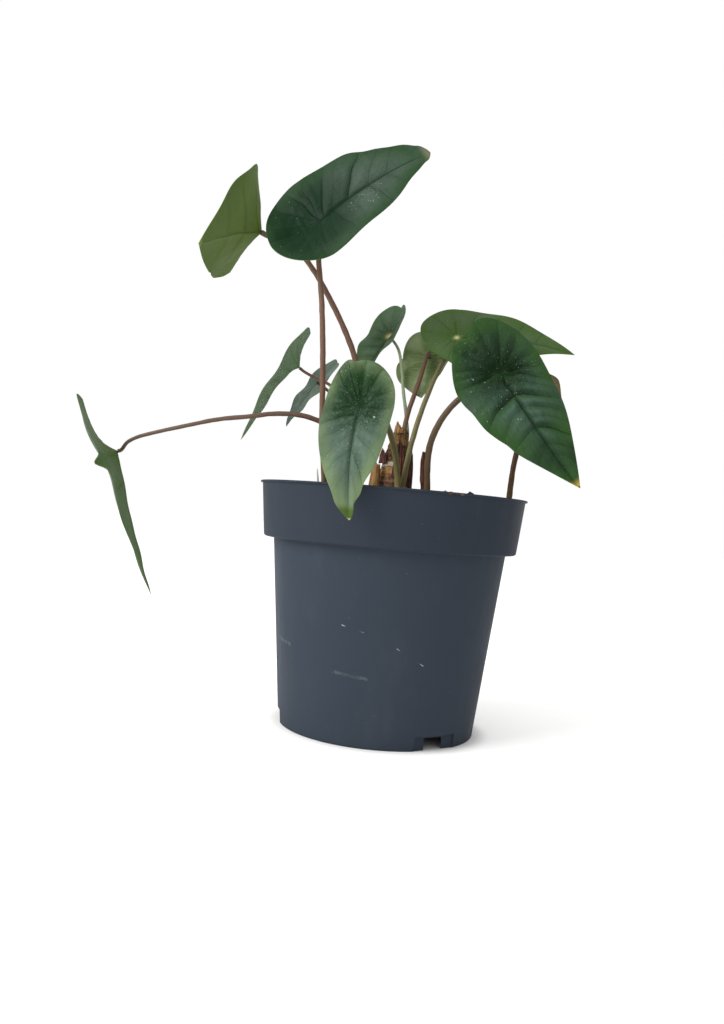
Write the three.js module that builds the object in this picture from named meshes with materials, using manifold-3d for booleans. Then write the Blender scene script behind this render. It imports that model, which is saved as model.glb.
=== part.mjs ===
// Potted alocasia platinum: a shield-leaved house plant in a plain round nursery pot.
// Millimetres, +Z up. The origin is on the pot's axis, in the plane that its foot stands on.
// The plant's open side, with the front blade over the rim, faces -Y.
import * as THREE from "three";
import { mergeVertices } from "three/addons/utils/BufferGeometryUtils.js";
import Module from "manifold-3d";

const wasm = await Module();
wasm.setup();

// Pot
const POT_HEIGHT = 150;
const LIP_RADIUS = 85;
const LIP_OVERHANG = 1.2;
const LIP_THICKNESS = 1.2;
const COLLAR_HEIGHT = 34.5;
const COLLAR_BOTTOM_RADIUS = 80.3;
const COLLAR_CORNER = 1.4;
const WALL_TOP_RADIUS = 74;
const FOOT_RADIUS = 62;
const FOOT_WIDTH = 2.6;
const WALL = 1.6;
const FLOOR_LIFT = 8;
const STANDING_DISC_RADIUS = 38;
const DISC_EDGE_SLOPE = 6;
const NOTCH_COUNT = 3;
const NOTCH_WIDTH = 13;
const NOTCH_HEIGHT = 7;
const NOTCH_PANEL_WIDTH = 29;
const NOTCH_PANEL_HEIGHT = 8.5;
const NOTCH_PANEL_DEPTH = 0.8;
const NOTCH_PANEL_WALL = 0.7;
const NOTCH_TOOL_DEPTH = 10;
const FIRST_NOTCH_ANGLE = -54.5;
const POT_SEGMENTS = 48;
const CUT_PAST = 1;

// Soil
const SOIL_BELOW_RIM = 4;
const SOIL_MOUND = 3;
const SOIL_ROUGHNESS = 0.8;
const SOIL_LUMP = 3.5;
const SOIL_RINGS = [0.85, 0.66, 0.48, 0.3, 0.15];
const SOIL_SEGMENTS = 40;

// Plant
const BLADE_THICKNESS = 0.9;
const STALK_SIDES = 8;
const STALK_STEP = 9;
const STALK_END_STRAIGHT = 4;
const CLEARANCE = 0.35;
const SAME_POINT = 1e-4;

const plant = new THREE.Group();

const paints = {
  pot: paint("#4c535d", 0.62),
  soil: paint("#3a2f27", 0.95),
  trunk: paint("#6d5138", 0.85),
  husk: paint("#9a7648", 0.8),
  darkHusk: paint("#4a2a22", 0.75),
  brownStalk: paint("#6f5248", 0.5),
  oliveStalk: paint("#7d7a55", 0.5),
  paleStalk: paint("#93a07d", 0.5),
  blade: paint("#3f6146", 0.42),
  paleBlade: paint("#5f7b4c", 0.5),
  dryBlade: paint("#9a8a73", 0.8),
};

function paint(colour, roughness) {
  return new THREE.MeshStandardMaterial({ color: colour, roughness, metalness: 0 });
}

function place(name, geometry, material) {
  const mesh = new THREE.Mesh(geometry, material);
  mesh.name = name;
  plant.add(mesh);
  return mesh;
}

// Solids

function solidOf(geometry) {
  const bare = geometry.clone();
  for (const attribute of ["normal", "uv"]) {
    bare.deleteAttribute(attribute);
  }
  const merged = mergeVertices(bare, SAME_POINT);
  return new wasm.Manifold(new wasm.Mesh({
    numProp: 3,
    vertProperties: new Float32Array(merged.attributes.position.array),
    triVerts: new Uint32Array(merged.index.array),
  }));
}

function geometryOf(solid) {
  const mesh = solid.getMesh();
  const geometry = new THREE.BufferGeometry();
  geometry.setAttribute("position", new THREE.BufferAttribute(mesh.vertProperties, 3));
  geometry.setIndex(new THREE.BufferAttribute(mesh.triVerts, 1));
  return geometry;
}

function cut(geometry, tools) {
  let solid = solidOf(geometry);
  for (const tool of tools) {
    solid = solid.subtract(solidOf(tool));
  }
  return geometryOf(solid);
}

function geometryFrom(points, triangles) {
  const geometry = new THREE.BufferGeometry().setFromPoints(points);
  geometry.setIndex(triangles.flat());
  return geometry;
}

// Rings of equal count, each counterclockwise seen from the last ring, closed by two end fans.
function skinRings(rings) {
  const count = rings[0].length;
  const points = rings.flat();
  const triangles = [];
  for (let i = 0; i < rings.length - 1; i++) {
    for (let j = 0; j < count; j++) {
      const here = i * count + j;
      const next = i * count + (j + 1) % count;
      triangles.push([here, next, next + count], [here, next + count, here + count]);
    }
  }
  for (const last of [false, true]) {
    const ring = last ? rings.at(-1) : rings[0];
    const start = last ? (rings.length - 1) * count : 0;
    const centre = points.length;
    points.push(ring.reduce((sum, p) => sum.add(p), new THREE.Vector3()).divideScalar(count));
    for (let j = 0; j < count; j++) {
      const here = start + j;
      const next = start + (j + 1) % count;
      triangles.push(last ? [here, next, centre] : [next, here, centre]);
    }
  }
  return geometryFrom(points, triangles);
}

function turned(outline, segments) {
  const profile = outline.map(([r, z]) => new THREE.Vector2(r, z));
  return new THREE.LatheGeometry(profile, segments).rotateX(Math.PI / 2);
}

function degrees(angle) {
  return THREE.MathUtils.degToRad(angle);
}

// Pot: a tapered wall with a foot ring, a shelf, a deep collar and a thin overhanging lip

function wallRadius(z) {
  const shelf = POT_HEIGHT - COLLAR_HEIGHT;
  return THREE.MathUtils.mapLinear(z, 0, shelf, FOOT_RADIUS, WALL_TOP_RADIUS);
}

function collarRadius(z) {
  const bottom = POT_HEIGHT - COLLAR_HEIGHT;
  return THREE.MathUtils.mapLinear(z, bottom, POT_HEIGHT, COLLAR_BOTTOM_RADIUS, LIP_RADIUS - LIP_OVERHANG);
}

function potGeometry() {
  const shelf = POT_HEIGHT - COLLAR_HEIGHT;
  const lipBottom = POT_HEIGHT - LIP_THICKNESS;
  const outline = [
    [0, 0],
    [STANDING_DISC_RADIUS, 0],
    [STANDING_DISC_RADIUS + DISC_EDGE_SLOPE, FLOOR_LIFT],
    [FOOT_RADIUS - FOOT_WIDTH, FLOOR_LIFT],
    [FOOT_RADIUS - FOOT_WIDTH, 0],
    [FOOT_RADIUS, 0],
    [wallRadius(shelf), shelf],
    [COLLAR_BOTTOM_RADIUS - COLLAR_CORNER, shelf],
    [collarRadius(shelf + COLLAR_CORNER), shelf + COLLAR_CORNER],
    [collarRadius(lipBottom), lipBottom],
    [LIP_RADIUS, lipBottom],
    [LIP_RADIUS, POT_HEIGHT],
    [collarRadius(POT_HEIGHT) - WALL, POT_HEIGHT],
    [collarRadius(shelf + WALL) - WALL, shelf + WALL],
    [wallRadius(shelf + WALL) - WALL, shelf + WALL],
    [wallRadius(FLOOR_LIFT + WALL) - WALL, FLOOR_LIFT + WALL],
    [STANDING_DISC_RADIUS + DISC_EDGE_SLOPE - WALL, FLOOR_LIFT + WALL],
    [STANDING_DISC_RADIUS - WALL, WALL],
    [0, WALL],
  ];
  const tools = [];
  for (let i = 0; i < NOTCH_COUNT; i++) {
    const turn = degrees(FIRST_NOTCH_ANGLE + i * 360 / NOTCH_COUNT);
    tools.push(...notchTools().map((tool) => tool.rotateZ(turn)));
  }
  return cut(turned(outline, POT_SEGMENTS), tools);
}

// A drain notch on +X: an opening through the foot ring, inside a shallow panel of the wall.
function notchTools() {
  const opening = new THREE.BoxGeometry(3 * FOOT_WIDTH, NOTCH_WIDTH, NOTCH_HEIGHT + CUT_PAST);
  opening.translate(FOOT_RADIUS - FOOT_WIDTH, 0, (NOTCH_HEIGHT - CUT_PAST) / 2);
  const chord = Math.sqrt(FOOT_RADIUS ** 2 - (NOTCH_PANEL_WIDTH / 2) ** 2);
  const innermost = FOOT_RADIUS - FOOT_WIDTH + NOTCH_PANEL_WALL;
  const flat = Math.max(chord - NOTCH_PANEL_DEPTH, innermost);
  const panel = new THREE.BoxGeometry(NOTCH_TOOL_DEPTH, NOTCH_PANEL_WIDTH, NOTCH_PANEL_HEIGHT + CUT_PAST);
  panel.translate(flat + NOTCH_TOOL_DEPTH / 2, 0, (NOTCH_PANEL_HEIGHT - CUT_PAST) / 2);
  return [opening, panel];
}

// Stalks: tapered tubes along a smooth route. The hole for a stalk is the same tube with room added
// around it and below its foot.

function stalkGeometry(stalk, extra = 0) {
  const curve = new THREE.CatmullRomCurve3(stalk.route.map((p) => new THREE.Vector3(...p)));
  const steps = Math.max(2, Math.round(curve.getLength() / STALK_STEP));
  const frames = curve.computeFrenetFrames(steps, false);
  const rings = [];
  for (let i = 0; i <= steps; i++) {
    const centre = curve.getPointAt(i / steps);
    if (i === 0) {
      centre.addScaledVector(frames.tangents[0], -extra);
    }
    const radius = THREE.MathUtils.lerp(stalk.thick, stalk.thin, i / steps) + extra;
    const ring = [];
    for (let j = 0; j < STALK_SIDES; j++) {
      const turn = 2 * Math.PI * j / STALK_SIDES;
      ring.push(centre.clone()
        .addScaledVector(frames.normals[i], radius * Math.cos(turn))
        .addScaledVector(frames.binormals[i], radius * Math.sin(turn)));
    }
    rings.push(ring);
  }
  return skinRings(rings);
}

// Blades. "at" is where the stalk meets the blade, "tip" is its tip and "face" is where it looks.
// In its own frame +X runs from the stalk to the tip, +Z out of the upper face and +Y to the left.
// The flat outline is drawn with u to the tip and v to the right, and is then bent.
const usualBlade = {
  arch: 0.03,
  bow: 0,
  lobes: 10,
  sway: 0,
  lopside: 0,
  skew: 0,
  cup: 10,
  tipCup: 1,
  curl: -10,
  taper: 1.15,
  fullness: 1,
  sinus: 0.12,
  dimple: 0,
  backDimple: 0,
  neck: 8,
  wave: 1,
  paint: paints.blade,
};
const SIDE_STEPS = 18;
const TIP_SHARE = 11 / 18;
const LOBE_ROUNDING = 50;
const RING_SCALES = [0.15, 0.4, 0.7, 1];
const WAVES_PER_SIDE = 3;
const LEFT_WAVE_SHIFT = 2;

// Outline of one side, as shares of length and width: s runs from the tip, 0, to the sinus, 1.
function outlineAt(blade, s) {
  if (s < TIP_SHARE) {
    const x = 1 - s / TIP_SHARE;
    return [x, Math.cos(Math.PI / 2 * x ** blade.taper) ** blade.fullness];
  }
  const turn = (s - TIP_SHARE) / (1 - TIP_SHARE) * 90;
  const dip = Math.max(0, (turn - LOBE_ROUNDING) / (90 - LOBE_ROUNDING)) ** 2;
  return [-Math.sin(degrees(turn)) * (1 - blade.sinus * dip), Math.cos(degrees(turn))];
}

function bladeFrame(blade) {
  const at = new THREE.Vector3(...blade.at);
  const along = new THREE.Vector3(...blade.tip).sub(at);
  const length = along.length();
  along.normalize();
  const up = new THREE.Vector3(...blade.face).projectOnPlane(along).normalize();
  const left = new THREE.Vector3().crossVectors(up, along);
  return { at, up, length, turn: new THREE.Matrix4().makeBasis(along, left, up) };
}

function bladePoint(blade, length, u, v, s, scale) {
  const x = Math.max(0, u / length);
  const w = Math.max(0, -u / blade.back);
  const half = v < 0 ? blade.left : blade.right;
  const rise = Math.atan(4 * blade.arch);
  let forward = u;
  let lift = 4 * blade.arch * length * x * (1 - x);
  let shift = 4 * blade.bow * length * x * (1 - x);
  let pitch = Math.atan(4 * blade.arch * (1 - 2 * x));
  if (u < 0) {
    const middle = rise + degrees(blade.lobes) * w / 2;
    const behind = u * (1 - blade.skew * v / half);
    forward = behind * Math.cos(middle);
    lift = behind * Math.sin(middle);
    shift = (2 * blade.bow + blade.sway) * u;
    pitch = rise + degrees(blade.lobes) * w;
  }
  const reach = Math.hypot(u, v);
  const backward = reach > 0 ? (1 - u / reach) / 2 : 0;
  const dimple = THREE.MathUtils.lerp(blade.dimple, blade.backDimple, backward);
  lift += dimple * (1 - Math.exp(-reach / blade.neck)) * (1 - u / length);

  const cup = blade.cup * THREE.MathUtils.lerp(1, blade.tipCup, x);
  const slope = degrees(cup + blade.curl * Math.abs(v) / half / 2);
  const across = v * (1 - blade.lopside * w * Math.sign(v));
  const away = across * Math.cos(slope);
  const phase = 2 * Math.PI * WAVES_PER_SIDE * s + (v < 0 ? LEFT_WAVE_SHIFT : 0);
  const wave = Math.sin(phase) * Math.sin(Math.PI * s);
  const raise = Math.abs(across) * Math.sin(slope) + blade.wave * scale ** 2 * wave;

  return new THREE.Vector3(
    forward - raise * Math.sin(pitch),
    -shift - away,
    lift + raise * Math.cos(pitch),
  );
}

// Closed shell from a middle surface: the rim is the last "count" points of the surface.
function thicken(points, triangles, count) {
  const middle = geometryFrom(points, triangles);
  middle.computeVertexNormals();
  const normals = middle.attributes.normal;
  const normal = new THREE.Vector3();
  const shifted = (distance) => points.map((p, i) => p.clone()
    .addScaledVector(normal.fromBufferAttribute(normals, i), distance));
  const all = [...shifted(BLADE_THICKNESS / 2), ...shifted(-BLADE_THICKNESS / 2)];
  const below = points.length;
  const skin = [...triangles, ...triangles.map(([a, b, c]) => [a + below, c + below, b + below])];
  for (let j = 0; j < count; j++) {
    const here = below - count + j;
    const next = below - count + (j + 1) % count;
    skin.push([here, next, next + below], [here, next + below, here + below]);
  }
  return geometryFrom(all, skin);
}

function bladeGeometry(blade, length) {
  const rim = [];
  for (let k = 0; k < 2 * SIDE_STEPS; k++) {
    const right = k <= SIDE_STEPS;
    const s = (right ? k : 2 * SIDE_STEPS - k) / SIDE_STEPS;
    const [x, y] = outlineAt(blade, s);
    const onMidrib = k % SIDE_STEPS === 0;
    rim.push({
      s,
      u: x * (x < 0 ? blade.back : length),
      v: onMidrib ? 0 : y * (right ? blade.right : -blade.left),
    });
  }
  const count = rim.length;
  const points = [new THREE.Vector3()];
  for (const scale of RING_SCALES) {
    points.push(...rim.map(({ s, u, v }) => bladePoint(blade, length, u * scale, v * scale, s, scale)));
  }
  const triangles = [];
  for (let j = 0; j < count; j++) {
    const next = (j + 1) % count;
    triangles.push([0, 1 + next, 1 + j]);
    for (let i = 0; i < RING_SCALES.length - 1; i++) {
      const inner = 1 + i * count;
      const outer = inner + count;
      triangles.push([inner + j, outer + next, outer + j], [inner + j, inner + next, outer + next]);
    }
  }
  return thicken(points, triangles, count);
}

// The stalk's route runs from its foot to just under the blade, square to it at the end.
function stalkOf(leaf) {
  const frame = bladeFrame(leaf.blade);
  const under = (distance) => frame.at.clone().addScaledVector(frame.up, -distance).toArray();
  const end = BLADE_THICKNESS / 2 + CLEARANCE;
  const straight = leaf.stalk.straight ?? STALK_END_STRAIGHT;
  const route = [...leaf.stalk.route, under(end + straight), under(end)];
  return { ...leaf.stalk, route };
}

const leaves = {
  top: {
    blade: {
      at: [-57, -40, 306], tip: [5, -52, 347], face: [-0.25, -1, 0.4],
      left: 32, right: 31, back: 34, bow: -0.03, lobes: -35, sway: 0.1, cup: 14, tipCup: 0.3,
      fullness: 0.8, sinus: 0.03,
    },
    stalk: {
      thick: 1.9, thin: 1.6, paint: paints.brownStalk,
      route: [
        [-42, -22, 128], [-43, -22, 149], [-47, -24, 183], [-49, -26, 214], [-51, -28, 240],
        [-54, -30, 267], [-57, -31, 288],
      ],
    },
  },
  high_left: {
    blade: {
      at: [-99, 0, 310], tip: [-124, -60, 282], face: [-0.45, 0.72, 0.6],
      left: 38, right: 37, back: 26, arch: 0, lobes: -60, cup: 5, curl: 10,
      dimple: 8, backDimple: 14, neck: 20,
      paint: paints.paleBlade,
    },
    stalk: {
      thick: 2.1, thin: 1.6, paint: paints.brownStalk,
      route: [
        [-3.5, 3.6, 151.5], [-8.2, 3.6, 158.5], [-14, 3.6, 166], [-18.2, 3, 177], [-21.5, 0, 191],
        [-26.8, -2, 212.5], [-31, -3, 231], [-39, -4, 249], [-50, -5, 268], [-60, -6, 283], [-71, -6, 296],
        [-83, -5, 305],
      ],
    },
  },
  far_left: {
    blade: {
      at: [-178, -10, 161], tip: [-146, -20, 73], face: [-1, -0.2, 0.2],
      left: 25, right: 25, back: 43, arch: 0.018, lobes: 2, cup: 17, backDimple: 12,
      taper: 0.9,
      paint: paints.paleBlade,
    },
    stalk: {
      thick: 1.9, thin: 1.1, straight: 1.5, paint: paints.brownStalk,
      route: [
        [-3.5, -1, 150], [-8.7, -1, 156.5], [-14.5, -1, 163], [-21.5, -3, 172], [-30.3, -7, 181],
        [-40.1, -10, 186.4], [-50.2, -12, 190], [-63, -14, 192.6], [-79, -15, 192], [-94, -16, 189],
        [-112, -16, 186], [-134, -16, 180], [-157, -13, 173.5], [-165, -12.5, 170.7], [-171, -12, 167.2],
      ],
    },
  },
  left: {
    blade: {
      at: [-69, 15, 227], tip: [-103, 10, 176], face: [-0.77, 0, 0.63],
      left: 22, right: 22, back: 26, arch: 0, lobes: 0, dimple: 7, backDimple: 7,
      paint: paints.paleBlade,
    },
    stalk: {
      thick: 1.4, thin: 0.9, paint: paints.brownStalk,
      route: [
        [-0.5, 7.5, 151], [-7, 7.9, 157.5], [-14, 8.4, 166], [-18.8, 9.2, 178], [-25, 10.6, 194],
        [-34, 12, 207], [-48, 13, 217], [-58, 14, 221],
      ],
    },
  },
  back_left: {
    blade: {
      at: [-59, 42, 222], tip: [-78, 42, 190], face: [-0.84, 0.12, 0.55],
      left: 17, right: 20, back: 22, cup: 12, curl: -20, fullness: 0.8,
      paint: paints.paleBlade,
    },
    stalk: {
      thick: 1.4, thin: 1, paint: paints.brownStalk,
      route: [
        [4, 7.5, 151], [-2.5, 11.6, 157], [-11.5, 14, 164.5], [-19.5, 18, 176], [-28.3, 27, 193],
        [-36, 33, 205], [-46, 39, 213],
      ],
    },
  },
  front: {
    blade: {
      at: [-22, -80, 193], tip: [-22, -96, 130], face: [0, -1, 0.2],
      left: 18.5, right: 20, back: 34, arch: 0.04, cup: 5, bow: 0.045, sway: -0.28, lopside: 0.5,
      fullness: 0.85,
    },
    stalk: {
      thick: 2.1, thin: 1.6, paint: paints.oliveStalk,
      route: [
        [2.5, -16, 128], [2.5, -16, 149], [1, -18, 162], [-1, -23, 173], [-6, -36, 186], [-12, -52, 194],
        [-18, -66, 197],
      ],
    },
  },
  centre: {
    blade: {
      at: [-11, 25, 254], tip: [-28, 10, 219], face: [-0.7, -0.65, 0.3],
      left: 12, right: 19, back: 34, lobes: -10, sway: -0.35, cup: 22,
    },
    stalk: {
      thick: 1.2, thin: 0.9, paint: paints.paleStalk,
      route: [[4, 4, 172], [6, 5, 184], [4, 4, 200], [1, 4, 215], [-1, 9, 229], [-4, 17, 243]],
    },
  },
  centre_right: {
    blade: {
      at: [16, 15, 240], tip: [13, 0, 211], face: [0.2, 1, 0.2],
      left: 18, right: 14, back: 26, bow: -0.14, lobes: -20, sway: 0.4, taper: 1.25,
      paint: paints.paleBlade,
    },
    stalk: {
      thick: 1.7, thin: 1.3, paint: paints.brownStalk,
      route: [[2, -2, 175], [3, -3, 185], [5, -2, 200], [8, 0, 212], [11, 4, 224]],
    },
  },
  right: {
    blade: {
      at: [32, -5, 250], tip: [107, -5, 245], face: [0, -1, 0.8],
      left: 28, right: 24, back: 23.5, arch: 0.06, lobes: 15, lopside: 0.25, skew: 0.4, curl: -20,
      taper: 0.9,
    },
    stalk: {
      thick: 1.9, thin: 1.4, paint: paints.oliveStalk,
      route: [
        [5.1, -12.5, 128], [5.1, -12.5, 150], [6.6, -13.2, 166], [8.8, -14, 181], [13, -12, 200],
        [18, -9, 217], [24, -4, 233],
      ],
    },
  },
  right_front: {
    blade: {
      at: [56, -50, 223], tip: [103, -72, 158], face: [-0.05, -1, 0.4],
      left: 26, right: 29, back: 38.5, bow: 0.02, lobes: 5, sway: -0.17, lopside: 0.28, skew: 0.33, cup: 8,
      curl: -20, taper: 1.1, sinus: 0.22,
    },
    stalk: {
      thick: 2.2, thin: 1.7, paint: paints.brownStalk,
      route: [
        [20, -28, 128], [20, -29, 150], [19, -30, 169], [20, -31, 180], [24, -33, 192], [30, -35, 202],
        [39, -37, 211],
      ],
    },
  },
  right_dry: {
    blade: {
      at: [91, 15, 226], tip: [101, 10, 188], face: [0.3, -1, 0.3],
      left: 12, right: 13, back: 12, arch: 0.06, cup: 30, curl: -20, taper: 1,
      paint: paints.dryBlade,
    },
    stalk: {
      thick: 2, thin: 1.5, paint: paints.brownStalk,
      route: [[74, 7, 128], [75, 8, 149], [76, 9, 169], [78, 11, 183], [81, 15, 203], [85, 19, 219]],
    },
  },
};

// Trunk: a short tapering stem with leaf-scar rings, each with its height, radius and middle
const TRUNK_AXIS = [0.8, 0];
const TRUNK_SIDES = 12;
const TRUNK_KNOBS = 3;
const TRUNK_KNOB_HEIGHT = 0.06;
const TRUNK_KNOB_TURN = 1.7;
const TRUNK_ROOM = 1.08;
const trunkRings = [
  [124, 8.7, -0.4], [140, 9, -0.4], [148, 9, -0.4], [152, 8.8, -0.4], [155, 9.3, -0.4], [158, 8.8, -0.4],
  [161, 9.3, -0.4], [165, 8.9, -0.4], [168, 8.8, -0.4], [172, 7.4, 0.2], [180, 6.2, 0.9], [186, 4.8, 1.5],
  [190, 3.5, 1.8],
];

function trunkGeometry() {
  const rings = trunkRings.map(([z, radius, middle], i) => {
    const ring = [];
    for (let j = 0; j < TRUNK_SIDES; j++) {
      const turn = 2 * Math.PI * j / TRUNK_SIDES;
      const knob = Math.sin(TRUNK_KNOBS * turn + TRUNK_KNOB_TURN * i);
      const knobbly = radius * (1 + TRUNK_KNOB_HEIGHT * knob);
      ring.push(new THREE.Vector3(
        middle + knobbly * Math.cos(turn),
        TRUNK_AXIS[1] + knobbly * Math.sin(turn),
        z,
      ));
    }
    return ring;
  });
  return skinRings(rings);
}

// Dry scales: pointed curved plates standing around the trunk
const SCALE_THICKNESS = 0.8;
const SCALE_STEPS = 4;
const SCALE_NARROWING = 0.9;
const scales = {
  scale_top: {
    angle: 269, bottom: 187, height: 8.5, span: 62, radius: 6, lean: -1.4, paint: paints.husk,
  },
  scale_left: {
    angle: 206, bottom: 164, height: 10.5, span: 50, radius: 11, lean: -0.6, paint: paints.darkHusk,
  },
  scale_front: {
    angle: 276, bottom: 158, height: 23, span: 44, radius: 10.3, lean: -2.6, paint: paints.darkHusk,
  },
  scale_right: {
    angle: 329, bottom: 152, height: 20, span: 56, radius: 10, lean: -0.4, paint: paints.darkHusk,
  },
};

// One face of a scale on +X of the trunk's axis, row by row from its foot to its point.
function scaleFace(scale, offset) {
  const points = [];
  for (let i = 0; i <= SCALE_STEPS; i++) {
    const rise = i / SCALE_STEPS;
    const width = scale.span * (1 - SCALE_NARROWING * rise ** 2);
    const r = scale.radius + scale.lean * rise ** 2 + offset;
    for (let j = 0; j <= SCALE_STEPS; j++) {
      const turn = degrees(width * (j / SCALE_STEPS - 0.5));
      points.push(new THREE.Vector3(r * Math.cos(turn), r * Math.sin(turn), scale.height * rise));
    }
  }
  return points;
}

function scaleGeometry(scale) {
  const row = SCALE_STEPS + 1;
  const back = row * row;
  const triangles = [];
  for (let i = 0; i < SCALE_STEPS; i++) {
    for (let j = 0; j < SCALE_STEPS; j++) {
      const low = i * row + j;
      const high = low + row;
      triangles.push([low, low + 1, high + 1], [low, high + 1, high]);
      triangles.push([low + back, high + 1 + back, low + 1 + back]);
      triangles.push([low + back, high + back, high + 1 + back]);
    }
  }
  const edge = [];
  for (let k = 0; k < 4 * SCALE_STEPS; k++) {
    const step = k % SCALE_STEPS;
    const corners = [
      step,
      step * row + SCALE_STEPS,
      SCALE_STEPS * row + SCALE_STEPS - step,
      (SCALE_STEPS - step) * row,
    ];
    edge.push(corners[Math.floor(k / SCALE_STEPS)]);
  }
  edge.forEach((here, k) => {
    const next = edge[(k + 1) % edge.length];
    triangles.push([here, here + back, next + back], [here, next + back, next]);
  });
  return geometryFrom([...scaleFace(scale, SCALE_THICKNESS), ...scaleFace(scale, 0)], triangles);
}

// Small things standing in the soil, each a short tapered rod
const rods = {
  stump: {
    thick: 4.2, thin: 2.6, paint: paints.husk,
    route: [[-13.4, -8.2, 138], [-12.9, -8.2, 150], [-12.6, -8.1, 158], [-12.3, -8, 166]],
  },
  sheath: {
    thick: 1.8, thin: 1, paint: paints.darkHusk,
    route: [[18, -28.5, 132], [17.8, -29, 150], [16.3, -29.2, 161], [16, -29.5, 170], [16.6, -29.8, 174.5]],
  },
  root_tip: {
    thick: 0.8, thin: 0.4, paint: paints.paleStalk,
    route: [[-46, -30, 136], [-46, -30, 147], [-47.5, -30, 159]],
  },
};

// Soil: fills the pot to just under the rim, with a low rough mound around the trunk

function soilGeometry() {
  const shelf = POT_HEIGHT - COLLAR_HEIGHT;
  const top = POT_HEIGHT - SOIL_BELOW_RIM;
  const inside = (radius) => radius - WALL - CLEARANCE;
  const floor = FLOOR_LIFT + WALL + CLEARANCE;
  const brim = inside(collarRadius(top));
  const outline = [
    [0, floor],
    [inside(wallRadius(floor)), floor],
    [inside(wallRadius(shelf + WALL)), shelf + WALL + CLEARANCE],
    [inside(collarRadius(shelf + WALL)), shelf + WALL + CLEARANCE],
    [brim, top],
    ...SOIL_RINGS.map((share) => [brim * share, top + SOIL_MOUND * (1 - share ** 2)]),
    [0, top + SOIL_MOUND],
  ];
  const geometry = turned(outline, SOIL_SEGMENTS);
  const positions = geometry.attributes.position;
  for (let i = 0; i < positions.count; i++) {
    const z = positions.getZ(i);
    if (z > top + SAME_POINT) {
      const bumps = Math.sin(positions.getX(i) / SOIL_LUMP) * Math.sin(positions.getY(i) / SOIL_LUMP);
      positions.setZ(i, z + SOIL_ROUGHNESS * bumps);
    }
  }
  return geometry;
}

// The plant, piece by piece
const named = (table) => Object.entries(table).map(([name, entry]) => ({ name, ...entry }));
const stalks = Object.entries(leaves).map(([name, leaf]) => ({ name: `stalk_${name}`, ...stalkOf(leaf) }));
const standing = [...stalks, ...named(rods)];
const sockets = standing.map((stalk) => stalkGeometry(stalk, CLEARANCE));
const trunkRoom = trunkGeometry();
trunkRoom.translate(-TRUNK_AXIS[0], -TRUNK_AXIS[1], 0).scale(TRUNK_ROOM, TRUNK_ROOM, 1);
trunkRoom.translate(TRUNK_AXIS[0], TRUNK_AXIS[1], -CLEARANCE);
const sheathRoom = sockets[standing.findIndex(({ name }) => name === "stalk_right_front")];

place("pot", potGeometry(), paints.pot);
place("soil", cut(soilGeometry(), [...sockets, trunkRoom]), paints.soil);
place("trunk", cut(trunkGeometry(), sockets), paints.trunk);
for (const scale of named(scales)) {
  const mesh = place(scale.name, scaleGeometry(scale), scale.paint);
  mesh.position.set(...TRUNK_AXIS, scale.bottom);
  mesh.rotation.z = degrees(scale.angle);
}
for (const rod of named(rods)) {
  const geometry = stalkGeometry(rod);
  place(rod.name, rod.name === "sheath" ? cut(geometry, [sheathRoom]) : geometry, rod.paint);
}
for (const stalk of stalks) {
  place(stalk.name, stalkGeometry(stalk), stalk.paint);
}
for (const [name, leaf] of Object.entries(leaves)) {
  const blade = { ...usualBlade, ...leaf.blade };
  const frame = bladeFrame(blade);
  const mesh = place(`blade_${name}`, bladeGeometry(blade, frame.length), blade.paint);
  mesh.position.copy(frame.at);
  mesh.setRotationFromMatrix(frame.turn);
}

export default plant;
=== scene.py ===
# Potted alocasia platinum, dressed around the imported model. Lengths in the tables are millimetres.
import math
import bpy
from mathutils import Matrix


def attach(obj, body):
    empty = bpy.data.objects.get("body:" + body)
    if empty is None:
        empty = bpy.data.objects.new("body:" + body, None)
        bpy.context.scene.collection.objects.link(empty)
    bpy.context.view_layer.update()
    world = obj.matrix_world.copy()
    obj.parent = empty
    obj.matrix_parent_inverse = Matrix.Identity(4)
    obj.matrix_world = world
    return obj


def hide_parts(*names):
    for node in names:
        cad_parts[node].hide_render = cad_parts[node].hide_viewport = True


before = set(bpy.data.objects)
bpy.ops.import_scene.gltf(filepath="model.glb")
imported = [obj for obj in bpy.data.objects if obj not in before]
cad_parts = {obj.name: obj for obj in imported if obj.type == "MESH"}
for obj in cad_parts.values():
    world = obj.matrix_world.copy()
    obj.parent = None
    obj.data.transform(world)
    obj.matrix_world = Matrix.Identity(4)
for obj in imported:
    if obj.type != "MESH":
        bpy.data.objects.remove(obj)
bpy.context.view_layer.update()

from types import SimpleNamespace

import bmesh
import bpy
import numpy as np
from mathutils import Matrix, Vector

MM = 0.001
LUMP_WAVES = 14
ARC_STEPS = 5

# Camera
CAMERA_PLACE = (0, -549, 135)
CAMERA_LENS = 30
CAMERA_SENSOR = 36
CAMERA_YAW = 2
CAMERA_ROLL = 4.7


def unit(vector):
    vector = np.asarray(vector, float)
    return vector / np.linalg.norm(vector)


def lerp(a, b, t):
    return a + (b - a) * t


def smoothstep(low, high, value):
    t = np.clip((value - low) / (high - low), 0, 1)
    return t * t * (3 - 2 * t)


def lumps(points, size, seed):
    """Smooth noise of about -1 to 1 at each point, with features of the given size."""
    rng = np.random.default_rng(seed)
    points = np.asarray(points, float)
    directions = rng.normal(size=(LUMP_WAVES, points.shape[-1]))
    directions /= np.linalg.norm(directions, axis=1, keepdims=True)
    pitches = rng.uniform(0.6, 1.6, LUMP_WAVES) * math.pi / size
    phases = rng.uniform(0, 2 * math.pi, LUMP_WAVES)
    total = sum(np.sin(points @ d * k + p) for d, k, p in zip(directions, pitches, phases))
    return total / math.sqrt(LUMP_WAVES / 2) / 1.6


# Materials

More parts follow.
